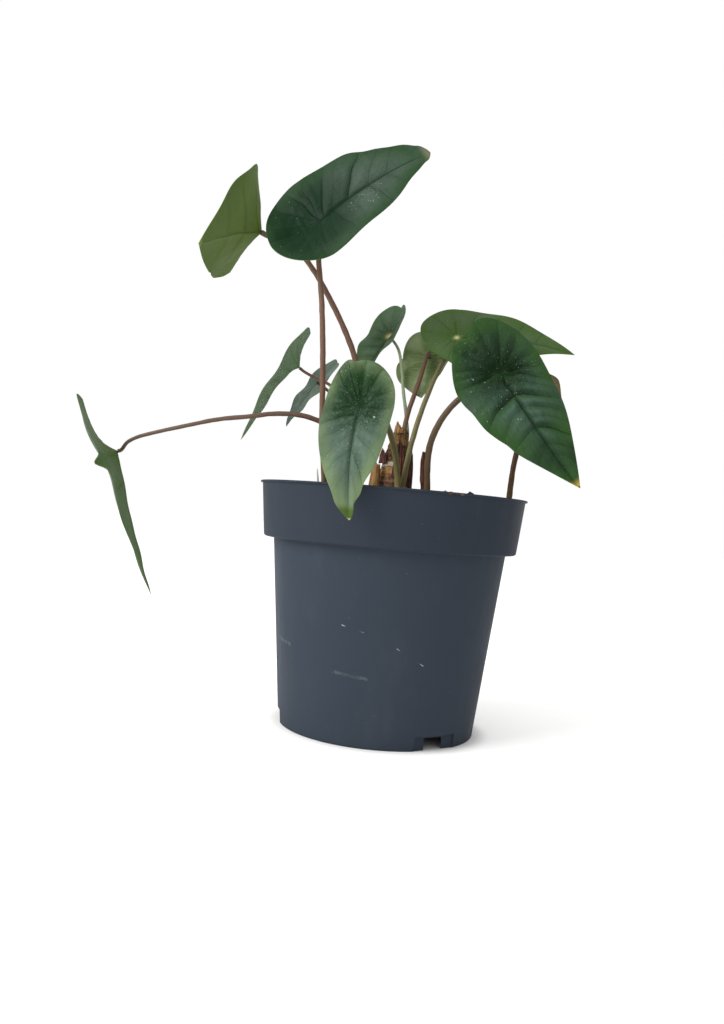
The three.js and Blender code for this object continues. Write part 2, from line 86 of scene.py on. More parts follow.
def colour(code):
    parts = [int(code[i:i + 2], 16) / 255 for i in (1, 3, 5)]
    return tuple(p / 12.92 if p <= 0.04045 else ((p + 0.055) / 1.055) ** 2.4 for p in parts) + (1,)


class Nodes:
    """A node tree whose nodes are added one call at a time."""

    def __init__(self, tree):
        self.tree = tree

    def node(self, kind, sockets=(), **settings):
        node = self.tree.nodes.new(kind)
        for key, value in settings.items():
            setattr(node, key, value)
        for key, value in dict(sockets).items():
            self.put(node.inputs[key], value)
        return node

    def put(self, socket, value):
        if isinstance(value, bpy.types.NodeSocket):
            self.tree.links.new(value, socket)
        elif isinstance(value, str):
            socket.default_value = colour(value)
        else:
            socket.default_value = value

    def part(self, vector, letter):
        return self.node("ShaderNodeSeparateXYZ", {0: vector}).outputs[letter]

    def remap(self, value, low, high, to_low=0.0, to_high=1.0):
        sockets = dict(enumerate((value, low, high, to_low, to_high)))
        return self.node("ShaderNodeMapRange", sockets, interpolation_type="SMOOTHSTEP").outputs[0]


class Paint(Nodes):
    """A material with one shader."""

    def __init__(self, name):
        self.material = bpy.data.materials.new(name)
        self.material.use_nodes = True
        super().__init__(self.material.node_tree)
        self.tree.nodes.clear()
        self.shader = self.node("ShaderNodeBsdfPrincipled")
        self.node("ShaderNodeOutputMaterial", {0: self.shader.outputs[0]})
        self.place = self.node("ShaderNodeTexCoord").outputs["Object"]

    def set(self, **values):
        """Sets sockets of the shader and returns the material."""
        for key, value in values.items():
            self.put(self.shader.inputs[key.replace("_", " ").title().replace("Ior", "IOR")], value)
        return self.material

    def attribute(self, name):
        return self.node("ShaderNodeAttribute", attribute_name=name).outputs["Fac"]

    def noise(self, scale, detail=3.0, roughness=0.55, stretch=None):
        vector = self.place
        if stretch:
            vector = self.node("ShaderNodeMapping", dict(Vector=vector, Scale=stretch)).outputs[0]
        sockets = dict(Vector=vector, Scale=scale, Detail=detail, Roughness=roughness)
        return self.node("ShaderNodeTexNoise", sockets).outputs["Fac"]

    def cells(self, scale, width, height=1, vector=None):
        """Lines between cells, as strong as height and as wide as width."""
        sockets = dict(Vector=vector or self.place, Scale=scale)
        node = self.node("ShaderNodeTexVoronoi", sockets, feature="DISTANCE_TO_EDGE")
        return self.remap(node.outputs["Distance"], 0.0, width, height, 0)

    def math(self, operation, a, b=0.0, clamp=False):
        return self.node("ShaderNodeMath", {0: a, 1: b}, operation=operation, use_clamp=clamp).outputs[0]

    def vector(self, operation, a, b=(0, 0, 0)):
        """The result of a vector operation. SCALE takes a number as b."""
        sockets = {0: a, "Scale" if operation == "SCALE" else 1: b}
        node = self.node("ShaderNodeVectorMath", sockets, operation=operation)
        return node.outputs["Value" if operation in ("DOT_PRODUCT", "DISTANCE", "LENGTH") else "Vector"]

    def times(self, a, b):
        return self.math("MULTIPLY", a, b)

    def mix(self, share, a, b):
        return self.node("ShaderNodeMix", {0: share, 6: a, 7: b}, data_type="RGBA").outputs[2]

    def layers(self, base, *layers):
        """The base with each layer over it, where a layer is its share and its tone."""
        for share, tone in layers:
            base = self.mix(share, base, tone)
        return base

    def ramp(self, value, stops):
        node = self.node("ShaderNodeValToRGB", {0: value})
        marks = node.color_ramp.elements
        while len(marks) < len(stops):
            marks.new(0.5)
        for mark, (place, code) in zip(marks, stops):
            mark.position = place
            mark.color = colour(code)
        return node.outputs[0]

    def bump(self, height, strength, distance, normal=None):
        sockets = dict(Height=height, Strength=strength, Distance=distance)
        if normal:
            sockets["Normal"] = normal
        return self.node("ShaderNodeBump", sockets).outputs[0]


RIPPLE_PITCH = 3.4


def leaf_paint(name, tones, roughness=0.42, raised=True, lines=0.8, ripples=0.1, rib=0.7, pillow_light_and_shade=0.1,
               crease_shade=0.0, tip_from=0.92):
    """Blade skin, with its veins drawn from the blade's own fields.

    lines and rib are how strongly side veins and midrib show, pillow_light_and_shade how strong the
    painted light and shade on the pillows are, lighter on the tip side of a side vein than behind it, and
    crease_shade how dark the painted shade in the creases round the stalk is."""
    paint = Paint(name)
    fields = "across along share phase spacing edge slant strength shadow crumple".split()
    across, along, share, phase, spacing, *others = map(paint.attribute, fields)
    edge, slant, strength, shadow, crumple = others
    cloud = paint.noise(38, 4, 0.6)
    mottle = paint.noise(210, 4, 0.6)
    grain = paint.noise(2400, 2, 0.7)
    wander = paint.noise(300, 2, 0.5)
    net = paint.cells(230, 0.09)
    fan = paint.node("ShaderNodeCombineXYZ", {0: paint.attribute("fan_u"), 1: paint.attribute("fan_v")})
    shaken = paint.vector("ADD", fan.outputs[0], paint.mix(1.0, "#000000", paint.times(wander, 1.6)))
    # Painted shade in the creases round the stalk: dark lines where the blade is crumpled.
    creases = paint.math("MAXIMUM", paint.cells(1.4, 0.16, vector=shaken), paint.cells(330, 0.14, 0.4))
    creases = paint.times(paint.times(creases, crumple), crease_shade)

    whole = paint.math("ROUND", phase)
    gap = paint.times(paint.math("ABSOLUTE", paint.math("SUBTRACT", phase, whole)), spacing)
    gap = paint.math("ADD", gap, paint.times(paint.math("SUBTRACT", wander, 0.5), 0.7))
    fade = paint.remap(share, 0.3, 1.0, 1.0, 0.15)
    side = paint.times(paint.times(paint.remap(gap, 0.1, 0.6, 1, 0), strength), fade)
    halo = paint.times(shadow, fade)
    ratio = paint.math("DIVIDE", across, paint.remap(along, 0.0, 0.95, 1.1, 0.4))
    ahead = paint.remap(paint.attribute("ahead"), -1.5, 1.0)
    ahead = paint.times(ahead, paint.remap(along, 0.82, 0.97, 1, 0.2))
    middle = paint.times(paint.remap(ratio, 0.15, 0.65, 1, 0), ahead)
    middle_halo = paint.times(paint.remap(ratio, 0.0, 3.0, 1, 0), ahead)
    middle_halo = paint.times(middle_halo, paint.remap(along, 0.3, 0.8, min(1.0, rib + 0.3), 0.5 * rib))
    line = paint.math("MAXIMUM", paint.times(side, lines), paint.times(middle, rib))
    halo = paint.math("MAXIMUM", halo, middle_halo)

    row = paint.math("ADD", across, paint.times(mottle, 9.0))
    row = paint.math("FRACT", paint.math("DIVIDE", row, RIPPLE_PITCH))
    row = paint.math("ABSOLUTE", paint.math("SUBTRACT", row, 0.5))
    cross = paint.times(paint.remap(row, 0.0, 0.35, 1, 0), paint.remap(mottle, 0.4, 0.6))

    shine = paint.times(paint.remap(cloud, 0.25, 0.62, 0.6, 1.0), paint.attribute("sheen"))
    shine = paint.times(shine, paint.remap(mottle, 0.3, 0.6, 0.86, 1.0))
    shine = paint.math("MULTIPLY", shine, paint.math("SUBTRACT", 1.0, paint.times(halo, 0.65)), clamp=True)
    base = paint.layers(
        paint.mix(shine, tones.deep, tones.sheen),
        (paint.remap(grain, 0.5, 0.75, 0.0, 0.1 if raised else 0), tones.vein),
        (paint.times(net, 0.12), tones.vein),
        (paint.times(cross, ripples), tones.vein),
        # Painted light and shade on the pillows: lighter on the tip side of each side vein, darker behind it.
        (paint.math("MULTIPLY", slant, pillow_light_and_shade, clamp=True), tones.lit),
        (paint.math("MULTIPLY", slant, -pillow_light_and_shade, clamp=True), tones.vein),
        (creases, tones.crease),
        (paint.times(edge, paint.remap(cloud, 0.3, 0.6, 0.3, 1.0)), tones.edge),
        (line, tones.vein),
        (paint.remap(along, tip_from, tip_from + 0.07), tones.tip),
        (paint.remap(along, 0.975, 0.995), tones.end),
        (paint.attribute("heart"), tones.heart),
    )
    if raised:
        height = paint.math("SUBTRACT", paint.times(mottle, 0.6), paint.times(cross, 3 * ripples))
        height = paint.math("SUBTRACT", height, paint.times(line, 1.2))
        height = paint.math("SUBTRACT", height, paint.times(creases, 3.0))
        paint.set(normal=paint.bump(grain, 0.05, 0.0002, paint.bump(height, 0.5, 0.0005)))
    roughness = paint.remap(cloud, 0.2, 0.8, roughness - 0.05, roughness + 0.07)
    return paint.set(base_color=base, roughness=roughness, specular_ior_level=0.05)


def stalk_paint(name, low, mid, high, streak):
    paint = Paint(name)
    along = paint.attribute("along")
    fibres = paint.noise(1500, 3, 0.6, stretch=(1, 1, 0.08))
    spots = paint.noise(700, 3, 0.65)
    base = paint.layers(
        low,
        (paint.remap(along, 0.0, 0.45), mid),
        (paint.remap(along, 0.5, 1.0), high),
        (paint.remap(fibres, 0.5, 0.72, 0, 0.25), streak),
        (paint.remap(spots, 0.62, 0.75, 0, 0.3), streak),
    )
    paint.set(base_color=base, roughness=paint.remap(spots, 0.3, 0.7, 0.38, 0.52))
    return paint.set(normal=paint.bump(fibres, 0.1, 0.0003), specular_ior_level=0.2)


def dry_paint(name, light, dark, scale=900, depth=0.0008):
    """Papery husk: long fibres, light and dark blotches."""
    paint = Paint(name)
    fibres = paint.noise(scale, 4, 0.65, stretch=(1, 1, 0.1))
    blotch = paint.noise(160, 4, 0.6)
    papery = paint.mix(paint.remap(fibres, 0.38, 0.62), dark, light)
    base = paint.mix(paint.remap(blotch, 0.52, 0.72, 0, 0.65), papery, dark)
    paint.set(base_color=base, roughness=paint.remap(blotch, 0.3, 0.7, 0.7, 0.9))
    return paint.set(normal=paint.bump(fibres, 0.6, depth), specular_ior_level=0.3)


# Meshes

def make(name, points, faces, materials, attributes=None, picks=None):
    """A mesh object from millimetre points. picks gives each face its material."""
    mesh = bpy.data.meshes.new(name)
    mesh.from_pydata((np.asarray(points, float) * MM).tolist(), [], [tuple(map(int, f)) for f in faces])
    for material in materials:
        mesh.materials.append(material)
    for key, values in (attributes or {}).items():
        mesh.attributes.new(key, "FLOAT", "POINT").data.foreach_set("value", np.asarray(values, np.float32))
    if picks is not None:
        mesh.polygons.foreach_set("material_index", np.asarray(picks, np.int32))
    mesh.polygons.foreach_set("use_smooth", np.ones(len(mesh.polygons), bool))
    mesh.update()
    piece = bpy.data.objects.new(name, mesh)
    bpy.context.collection.objects.link(piece)
    return piece


def dress(piece, slot, *nodes):
    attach(piece, "root")
    if nodes:
        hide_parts(*nodes)


def ring_faces(rows, count, start=0, closed=True):
    """Quads between rows of points, each row counterclockwise seen from the last row."""
    i, j = np.meshgrid(np.arange(rows - 1), np.arange(count if closed else count - 1), indexing="ij")
    here = start + i * count + j
    beside = start + i * count + (j + 1) % count
    return np.stack([here, beside, beside + count, here + count], -1).reshape(-1, 4).tolist()


def shifted(faces, offset, step=1):
    """The faces with their point numbers raised. A step of -1 turns them over."""
    return [[k + offset for k in face[::step]] for face in faces]


def closed_faces(rows, count):
    """Faces of a tube of rings. Two points that follow the rings close its first and its last ring."""
    total = rows * count
    faces = ring_faces(rows, count)
    for j in range(count):
        k = (j + 1) % count
        faces += [(total, k, j), (total - count + j, total - count + k, total + 1)]
    return faces


def normals_of(points, faces):
    """Vertex normals of quads, weighted by area."""
    faces = np.array(faces)
    a, b, c, d = (points[faces[:, k]] for k in range(4))
    across = np.cross(c - a, d - b)
    total = np.zeros_like(points)
    for k in range(4):
        np.add.at(total, faces[:, k], across)
    return total / np.maximum(np.linalg.norm(total, axis=1, keepdims=True), 1e-12)


def rounded(outline):
    """Replaces each corner (r, z, radius) of an outline by a small arc."""
    corners = [np.array(p[:2], float) for p in outline]
    result = []
    for i, here in enumerate(corners):
        radius = outline[i][2]
        if radius == 0 or i in (0, len(outline) - 1):
            result.append(here)
            continue
        before, after = unit(corners[i - 1] - here), unit(corners[i + 1] - here)
        half = math.acos(np.clip(before @ after, -1, 1)) / 2
        reach = radius / math.tan(half)
        centre = here + unit(before + after) * radius / math.sin(half)
        start, end = here + before * reach - centre, here + after * reach - centre
        opening = math.acos(np.clip(start @ end / radius ** 2, -1, 1))
        for k in range(ARC_STEPS + 1):
            t = k / ARC_STEPS
            blended = (start * math.sin((1 - t) * opening) + end * math.sin(t * opening)) / math.sin(opening)
            result.append(centre + blended)
    return result


def turns(count):
    return np.arange(count) * 2 * math.pi / count


def circled(radius, turn, z, axis=(0, 0)):
    """Points at the given radius, angle and height around an upright axis."""
    x, y = axis[0] + radius * np.cos(turn), axis[1] + radius * np.sin(turn)
    return np.stack(np.broadcast_arrays(x, y, z), -1).reshape(-1, 3)


def lathe(outline, segments):
    """Points and faces of an outline turned around Z. Its two ends lie on the axis."""
    middle = np.array(outline[1:-1])
    rings = circled(middle[:, :1], turns(segments), middle[:, 1:])
    points = np.vstack([rings, [[0, 0, outline[0][1]], [0, 0, outline[-1][1]]]])
    return points, closed_faces(len(middle), segments)


# Pot
POT_HEIGHT = 150
LIP_RADIUS = 85
LIP_OVERHANG = 1.2
LIP_THICKNESS = 1.2
COLLAR_HEIGHT = 34.5
SHELF = POT_HEIGHT - COLLAR_HEIGHT
COLLAR_BOTTOM_RADIUS = 80.3
WALL_TOP_RADIUS = 74
FOOT_RADIUS = 62
FOOT_WIDTH = 2.6
FOOT_INSIDE = FOOT_RADIUS - FOOT_WIDTH
WALL = 1.6
FLOOR_LIFT = 8
STANDING_DISC_RADIUS = 38
DISC_EDGE_SLOPE = 6
NOTCH_COUNT = 3
NOTCH_SIZE = (13, 7)
NOTCH_PANEL = (29, 8.5)
NOTCH_PANEL_DEPTH = 0.8
FIRST_NOTCH_ANGLE = -54.5
NOTCH_CUT = 8
PANEL_CUT = 10
NOTCH_BEVEL = 0.5
SHARP_ANGLE = 32
POT_SEGMENTS = 288
# Scratches and scuffs on the wall: both ends, half width, whiteness, how broken the line is.
SCRATCHES = [
    ((-23, -65.3, 70.2), (-8.9, -68.3, 67), 0.42, 0.65, 0.46),
    ((9.2, -67.5, 59.7), (24.8, -62.5, 50.5), 0.4, 0.55, 0.47),
    ((-26.7, -60.7, 42.8), (-6.9, -65.7, 40.9), 1.6, 0.08, 0.45),
    ((-62.2, -26.6, 54.3), (-54.3, -40, 52.8), 1.6, 0.08, 0.45),
]


def pot_paint():
    paint = Paint("pot_plastic")
    grain = paint.noise(1900, 2, 0.6)
    cloud = paint.noise(14, 3, 0.5)
    smear = paint.noise(55, 4, 0.6, stretch=(1, 1, 0.35))
    level = paint.part(paint.place, "Z")
    base = paint.layers(
        "#2e363f",
        (cloud, "#343a44"),
        (paint.remap(smear, 0.5, 0.75, 0, 0.25), "#3f4550"),
        # Painted shade: a thin dark band where the collar's underside meets the wall.
        (paint.remap(level, (SHELF - 0.5) * MM, (SHELF + 0.5) * MM, 0, 0.24), "#15181e"),
        (paint.remap(paint.noise(620, 2, 0.5), 0.74, 0.8, 0, 0.35), "#636a71"),
    )
    broken = paint.noise(520, 2, 0.6)
    for start, end, width, white, gaps in SCRATCHES:
        start, end = Vector(start) * MM, Vector(end) * MM
        run = end - start
        offset = paint.vector("SUBTRACT", paint.place, start)
        along = paint.vector("DOT_PRODUCT", offset, run / run.length_squared)
        nearest = paint.vector("SCALE", run, paint.math("ADD", along, 0.0, clamp=True))
        line = paint.remap(paint.vector("DISTANCE", offset, nearest), 0.2 * width * MM, width * MM, 1.0, 0.0)
        line = paint.times(line, paint.remap(broken, gaps - 0.06, gaps + 0.06, 0, white))
        base = paint.mix(line, base, "#bec0c1")
    paint.set(base_color=base, roughness=paint.remap(smear, 0.3, 0.7, 0.5, 0.64))
    normal = paint.bump(grain, 0.1, 0.00015, paint.bump(smear, 0.12, 0.0006))
    return paint.set(normal=normal, specular_ior_level=0.05)


def collar_radius(z):
    return lerp(COLLAR_BOTTOM_RADIUS, LIP_RADIUS - LIP_OVERHANG, (z - SHELF) / COLLAR_HEIGHT)


def wall_radius(z):
    return lerp(FOOT_RADIUS, WALL_TOP_RADIUS, z / SHELF)


def box_points(size, centre):
    corners = np.array([[x, y, z] for x in (-1, 1) for y in (-1, 1) for z in (-1, 1)]) / 2
    return corners * size + centre


BOX_FACES = [(0, 1, 3, 2), (4, 6, 7, 5), (0, 4, 5, 1), (2, 3, 7, 6), (0, 2, 6, 4), (1, 5, 7, 3)]


def pot_outline():
    """Half section of the pot, from the floor's middle outside round the lip to its middle inside."""
    lip_bottom = POT_HEIGHT - LIP_THICKNESS
    disc = STANDING_DISC_RADIUS + DISC_EDGE_SLOPE
    return rounded([
        (0, 0, 0),
        (STANDING_DISC_RADIUS, 0, 1),
        (disc, FLOOR_LIFT, 1),
        (FOOT_INSIDE, FLOOR_LIFT, 0.8),
        (FOOT_INSIDE, 0, 0.5),
        (FOOT_RADIUS, 0, 0.8),
        (wall_radius(SHELF), SHELF, 0.8),
        (collar_radius(SHELF), SHELF, 1.5),
        (collar_radius(lip_bottom), lip_bottom, 0.25),
        (LIP_RADIUS, lip_bottom, 0.5),
        (LIP_RADIUS, POT_HEIGHT, 0.5),
        (collar_radius(POT_HEIGHT) - WALL, POT_HEIGHT, 0.6),
        (collar_radius(SHELF + WALL) - WALL, SHELF + WALL, 1),
        (wall_radius(SHELF + WALL) - WALL, SHELF + WALL, 1),
        (wall_radius(FLOOR_LIFT + WALL) - WALL, FLOOR_LIFT + WALL, 1),
        (disc - WALL, FLOOR_LIFT + WALL, 1),
        (STANDING_DISC_RADIUS - WALL, WALL, 1),
        (0, WALL, 0),
    ])


def carve(pot, points):
    """Cuts a box with eased edges out of the pot."""
    cutter = make("cutter", points, BOX_FACES, [])
    bevel = cutter.modifiers.new("bevel", "BEVEL")
    bevel.width = NOTCH_BEVEL * MM
    bevel.segments = 3
    cut = pot.modifiers.new("cut", "BOOLEAN")
    cut.operation = "DIFFERENCE"
    cut.solver = "EXACT"
    cut.object = cutter
    graph = bpy.context.evaluated_depsgraph_get()
    carved = bpy.data.meshes.new_from_object(pot.evaluated_get(graph))
    pot.modifiers.clear()
    pot.data = carved
    bpy.data.objects.remove(cutter)


def build_pot():
    points, faces = lathe(pot_outline(), POT_SEGMENTS)
    pot = make("nursery_pot", points, faces, [pot_paint()])
    chord = math.sqrt(FOOT_RADIUS ** 2 - (NOTCH_PANEL[0] / 2) ** 2) - NOTCH_PANEL_DEPTH
    panel_height, opening_height = NOTCH_PANEL[1], NOTCH_SIZE[1]
    boxes = (
        ((NOTCH_CUT, NOTCH_SIZE[0], opening_height + 1), (FOOT_INSIDE, 0, (opening_height - 1) / 2)),
        ((PANEL_CUT, NOTCH_PANEL[0], panel_height + 1), (chord + PANEL_CUT / 2, 0, (panel_height - 1) / 2)),
    )
    for i in range(NOTCH_COUNT):
        turn = math.radians(FIRST_NOTCH_ANGLE + i * 360 / NOTCH_COUNT)
        spin = np.array(Matrix.Rotation(turn, 3, "Z"))
        for size, centre in boxes:
            carve(pot, box_points(size, centre) @ spin.T)
    pot.data.set_sharp_from_angle(angle=math.radians(SHARP_ANGLE))
    dress(pot, "pot", "pot")


# Leaves. "at" is where the stalk meets the blade, "tip" its tip and "face" where the upper side looks. A
# stalk has its skin, its thickness at the foot and at the blade, and a route. A dent has its side, place on
# the outline, width and depth, a flap its place, width, start and lift, folds their number, depth and turn.
# "sheen" is its strength and where it starts and is full; it is partly the blade's silver tone and partly a
# painted reflection of the sky. "shade" is the size and strength of the dark round the stalk.
USUAL_LEAF = dict(
    arch=0.03, bow=0, lobes=10, sway=0, lopside=0, skew=0, cup=10, tip_cup=1, curl=-10, taper=1.15,
    fullness=1, sinus=0.12, dimple=0, back_dimple=0, neck=8, pillow=0.35, groove=0.35, ripple=0.8, rings=44,
    half=90, veins="open", sheen=(1, -1.2, -0.6), shade=(14, 0.8), heart=1.6, skin="grey", under="olive",
    dents=(), flap=None, folds=(0, 0, 0), edging=0.6, veer=0.75, jitter=0, dull=0, straight=4,
    slot="pale_blade",
)
TIP_SHARE = 11 / 18
LOBE_ROUNDING = 50
WAVES_PER_SIDE = 3
LEFT_WAVE_SHIFT = 2
BLADE_THICKNESS = 0.9
RIM_THICKNESS = 0.3
FIRST_LEAF_SEED = 11

LEAVES = {
    "top": dict(
        at=(-57, -40, 306), tip=(5, -52, 347), face=(-0.25, -1, 0.4), left=32, right=31, back=34, bow=-0.03,
        lobes=-35, sway=0.1, cup=14, tip_cup=0.3, fullness=0.8, sinus=0.03, rings=72, half=140, veins="top",
        pillow=0.6, groove=0.4, sheen=(1, 0, 0.5), shade=(25, 1), slot="blade", stalk=("brown", 1.9, 1.6),
        dents=[(-1, 0.27, 0.05, 1.8), (-1, 0.08, 0.06, -2.4), (-1, 0.025, 0.02, -1.6), (1, 0.14, 0.05, 1),
               (1, 0.02, 0.02, -1.6)],
        route=[(-42, -22, 128), (-43, -22, 149), (-47, -24, 183), (-49, -26, 214), (-51, -28, 240),
               (-54, -30, 267), (-57, -31, 288)],
    ),
    "high_left": dict(
        at=(-99, 0, 310), tip=(-124, -60, 282), face=(-0.45, 0.72, 0.6), left=38, right=37, back=26, arch=0,
        lobes=-60, cup=5, curl=10, dimple=8, back_dimple=14, neck=20, rings=56, half=110, under="warm",
        veins="few", stalk=("brown", 2.1, 1.6),
        dents=[(1, 0.6, 0.07, 2.4), (1, 0.42, 0.04, -0.8), (1, 0.3, 0.02, 1), (-1, 0.8, 0.06, -1)],
        route=[(-3.5, 3.6, 151.5), (-8.2, 3.6, 158.5), (-14, 3.6, 166), (-18.2, 3, 177), (-21.5, 0, 191),
               (-26.8, -2, 212.5), (-31, -3, 231), (-39, -4, 249), (-50, -5, 268), (-60, -6, 283),
               (-71, -6, 296), (-83, -5, 305)],
    ),
    "far_left": dict(
        at=(-178, -10, 161), tip=(-146, -20, 73), face=(-1, -0.2, 0.2), left=25, right=25, back=43,
        arch=0.018, lobes=2, cup=17, back_dimple=12, taper=0.9, rings=56, half=110, veins="few",
        flap=(11, 3.6, 0.6, 6), straight=1.5, stalk=("dun", 1.9, 1.1),
        route=[(-3.5, -1, 150), (-8.7, -1, 156.5), (-14.5, -1, 163), (-21.5, -3, 172), (-30.3, -7, 181),
               (-40.1, -10, 186.4), (-50.2, -12, 190), (-63, -14, 192.6), (-79, -15, 192), (-94, -16, 189),
               (-112, -16, 186), (-134, -16, 180), (-157, -13, 173.5), (-165, -12.5, 170.7),
               (-171, -12, 167.2)],
    ),
    "left": dict(
        at=(-69, 15, 227), tip=(-103, 10, 176), face=(-0.77, 0, 0.63), left=22, right=22, back=26, arch=0,
        lobes=0, dimple=7, back_dimple=7, under="grey", stalk=("brown", 1.4, 0.9),
        route=[(-0.5, 7.5, 151), (-7, 7.9, 157.5), (-14, 8.4, 166), (-18.8, 9.2, 178), (-25, 10.6, 194),
               (-34, 12, 207), (-48, 13, 217), (-58, 14, 221)],
    ),
    "back_left": dict(
        at=(-59, 42, 222), tip=(-78, 42, 190), face=(-0.84, 0.12, 0.55), left=17, right=20, back=22, cup=12,
        curl=-20, fullness=0.8, under="dusk", stalk=("brown", 1.4, 1),
        route=[(4, 7.5, 151), (-2.5, 11.6, 157), (-11.5, 14, 164.5), (-19.5, 18, 176), (-28.3, 27, 193),
               (-36, 33, 205), (-46, 39, 213)],
    ),
    "front": dict(
        at=(-22, -80, 193), tip=(-22, -96, 130), face=(0, -1, 0.2), left=18.5, right=20, back=34, arch=0.04,
        cup=5, bow=0.045, sway=-0.28, lopside=0.5, fullness=0.85, rings=72, half=130, skin="silver",
        veins="front", pillow=0.9, groove=0.7, sheen=(1, -0.34, 0.18), shade=(17, 0.8), jitter=0.7,
        dents=[(-1, 0.19, 0.07, 2.4), (-1, 0.085, 0.04, 2.4), (1, 0.07, 0.05, -1.6)], slot="blade",
        stalk=("olive", 2.1, 1.6),
        route=[(2.5, -16, 128), (2.5, -16, 149), (1, -18, 162), (-1, -23, 173), (-6, -36, 186),
               (-12, -52, 194), (-18, -66, 197)],
    ),
    "centre": dict(
        at=(-11, 25, 254), tip=(-28, 10, 219), face=(-0.7, -0.65, 0.3), left=12, right=19, back=34, lobes=-10,
        sway=-0.35, cup=22, skin="soft", heart=2.4, slot="blade", stalk=("pale", 1.2, 0.9),
        route=[(4, 4, 172), (6, 5, 184), (4, 4, 200), (1, 4, 215), (-1, 9, 229), (-4, 17, 243)],
    ),
    "centre_right": dict(
        at=(16, 15, 240), tip=(13, 0, 211), face=(0.2, 1, 0.2), left=18, right=14, back=26, bow=-0.14,
        lobes=-20, sway=0.4, taper=1.25, folds=(5, 1.2, 1.2), edging=0.85, under="lit",
        stalk=("brown", 1.7, 1.3),
        route=[(2, -2, 175), (3, -3, 185), (5, -2, 200), (8, 0, 212), (11, 4, 224)],
    ),
    "right": dict(
        at=(32, -5, 250), tip=(107, -5, 245), face=(0, -1, 0.8), left=28, right=24, back=23.5, arch=0.06,
        lobes=15, lopside=0.25, skew=0.4, curl=-20, taper=0.9, rings=56, half=110, skin="light", heart=1.7,
        slot="blade", stalk=("olive", 1.9, 1.4),
        route=[(5.1, -12.5, 128), (5.1, -12.5, 150), (6.6, -13.2, 166), (8.8, -14, 181), (13, -12, 200),
               (18, -9, 217), (24, -4, 233)],
    ),
    "right_front": dict(
        at=(56, -50, 223), tip=(103, -72, 158), face=(-0.05, -1, 0.4), left=26, right=29, back=38.5, bow=0.02,
        lobes=5, sway=-0.17, lopside=0.28, skew=0.33, cup=8, curl=-20, taper=1.1, sinus=0.22, rings=80,
        half=150, pillow=1.9, groove=0.8, ripple=1.8, veins="dense", sheen=(1, -0.5, 0.1), shade=(22, 1),
        edging=0.5, veer=0.35, jitter=0.3, dull=0.6, skin="dark", slot="blade", stalk=("umber", 2.2, 1.7),
        dents=[(1, 0.5, 0.04, 0.8), (1, 0.4, 0.04, -0.6), (1, 0.3, 0.03, 0.8)],
        route=[(20, -28, 128), (20, -29, 150), (19, -30, 169), (20, -31, 180), (24, -33, 192),
               (30, -35, 202), (39, -37, 211)],
    ),
    "right_dry": dict(
        at=(91, 15, 226), tip=(101, 10, 188), face=(0.3, -1, 0.3), left=12, right=13, back=12, arch=0.06,
        cup=30, curl=-20, taper=1, skin="dry", under="dry", slot="dry_blade", stalk=("rust", 2, 1.5),
        route=[(74, 7, 128), (75, 8, 149), (76, 9, 169), (78, 11, 183), (81, 15, 203), (85, 19, 219)],
    ),
}
# Side veins from the tip back: where each leaves the midrib, where it meets the outline at the left and
# at the right, and how strong it is at the left and at the right.
VEIN_SETS = {
    "open": [
        (0.66, 0.17, 0.18, 0.5, 0.4), (0.46, 0.27, 0.29, 0.7, 0.6), (0.25, 0.38, 0.4, 0.8, 0.7),
        (0.09, 0.5, 0.52, 1, 0.9), (0, 0.64, 0.65, 0.8, 0.8), (0, 0.78, 0.77, 0.7, 0.6),
        (0, 0.92, 0.93, 0.5, 0.4),
    ],
    "few": [
        (0.5, 0.26, 0.25, 0.5, 0.5), (0.23, 0.42, 0.4, 0.8, 0.7), (0.04, 0.58, 0.56, 0.9, 0.8),
        (0, 0.72, 0.74, 0.6, 0.5), (0, 0.88, 0.9, 0.4, 0.4),
    ],
    "top": [
        (0.64, 0.13, 0.15, 0.25, 0.3), (0.47, 0.2, 0.25, 0.3, 0.5), (0.28, 0.29, 0.36, 1, 0.15),
        (0.13, 0.38, 0.44, 0.25, 0.5), (0.04, 0.47, 0.53, 0.9, 0.1), (0, 0.59, 0.62, 0.6, 0.3),
        (0, 0.69, 0.72, 0.9, 0.15), (0, 0.8, 0.84, 0.5, 0.2), (0, 0.93, 0.95, 0.3, 0.2),
    ],
    "front": [
        (0.58, 0.11, 0.12, 0.3, 0.2), (0.4, 0.17, 0.22, 0.6, 0.3), (0.25, 0.32, 0.3, 0.4, 0.25),
        (0.16, 0.42, 0.39, 0.3, 0.4), (0.07, 0.5, 0.5, 0.5, 1), (0.01, 0.6, 0.57, 0.8, 1),
        (0, 0.71, 0.66, 0.7, 0.9), (0, 0.83, 0.79, 0.9, 1), (0, 0.94, 0.92, 1, 0.9),
    ],
    "dense": [
        (0.72, 0.1, 0.11, 0.3, 0.1), (0.63, 0.15, 0.16, 0.5, 0.3), (0.49, 0.21, 0.26, 1, 0.6),
        (0.41, 0.26, 0.29, 0.4, 0.15), (0.32, 0.3, 0.32, 0.6, 0.4), (0.21, 0.36, 0.39, 1, 1),
        (0.12, 0.41, 0.46, 0.5, 0.2), (0.04, 0.46, 0.55, 0.9, 0.2), (0.01, 0.55, 0.62, 1, 1),
        (0, 0.62, 0.68, 0.8, 0.8), (0, 0.7, 0.75, 0.8, 0.8), (0, 0.8, 0.86, 0.7, 0.4),
        (0, 0.92, 0.95, 0.5, 0.3),
    ],
}
PAST_LAST_VEIN = 8
VEIN_REACH = 4.2
FAR_FROM_VEIN = 12
VEIN_SWAY = 1.9
SLANT_WIDTH = 1.9
VEIN_START_BEHIND = 0.85
VEIN_WANDER = 11
FINE_WANDER = 3
GROOVE_WIDTH = 1.1
MIDRIB_WIDTH = 1.3
PUCKER_SIZE = 2.8
PUCKER_DEPTH = 0.12
SWELL_SIZE = 16
SWELL_DEPTH = 0.3
DROP_SIDES = 10
DROP_ROWS = 4
DROP_HEIGHT = 0.62
DROP_MARGIN = 0.95
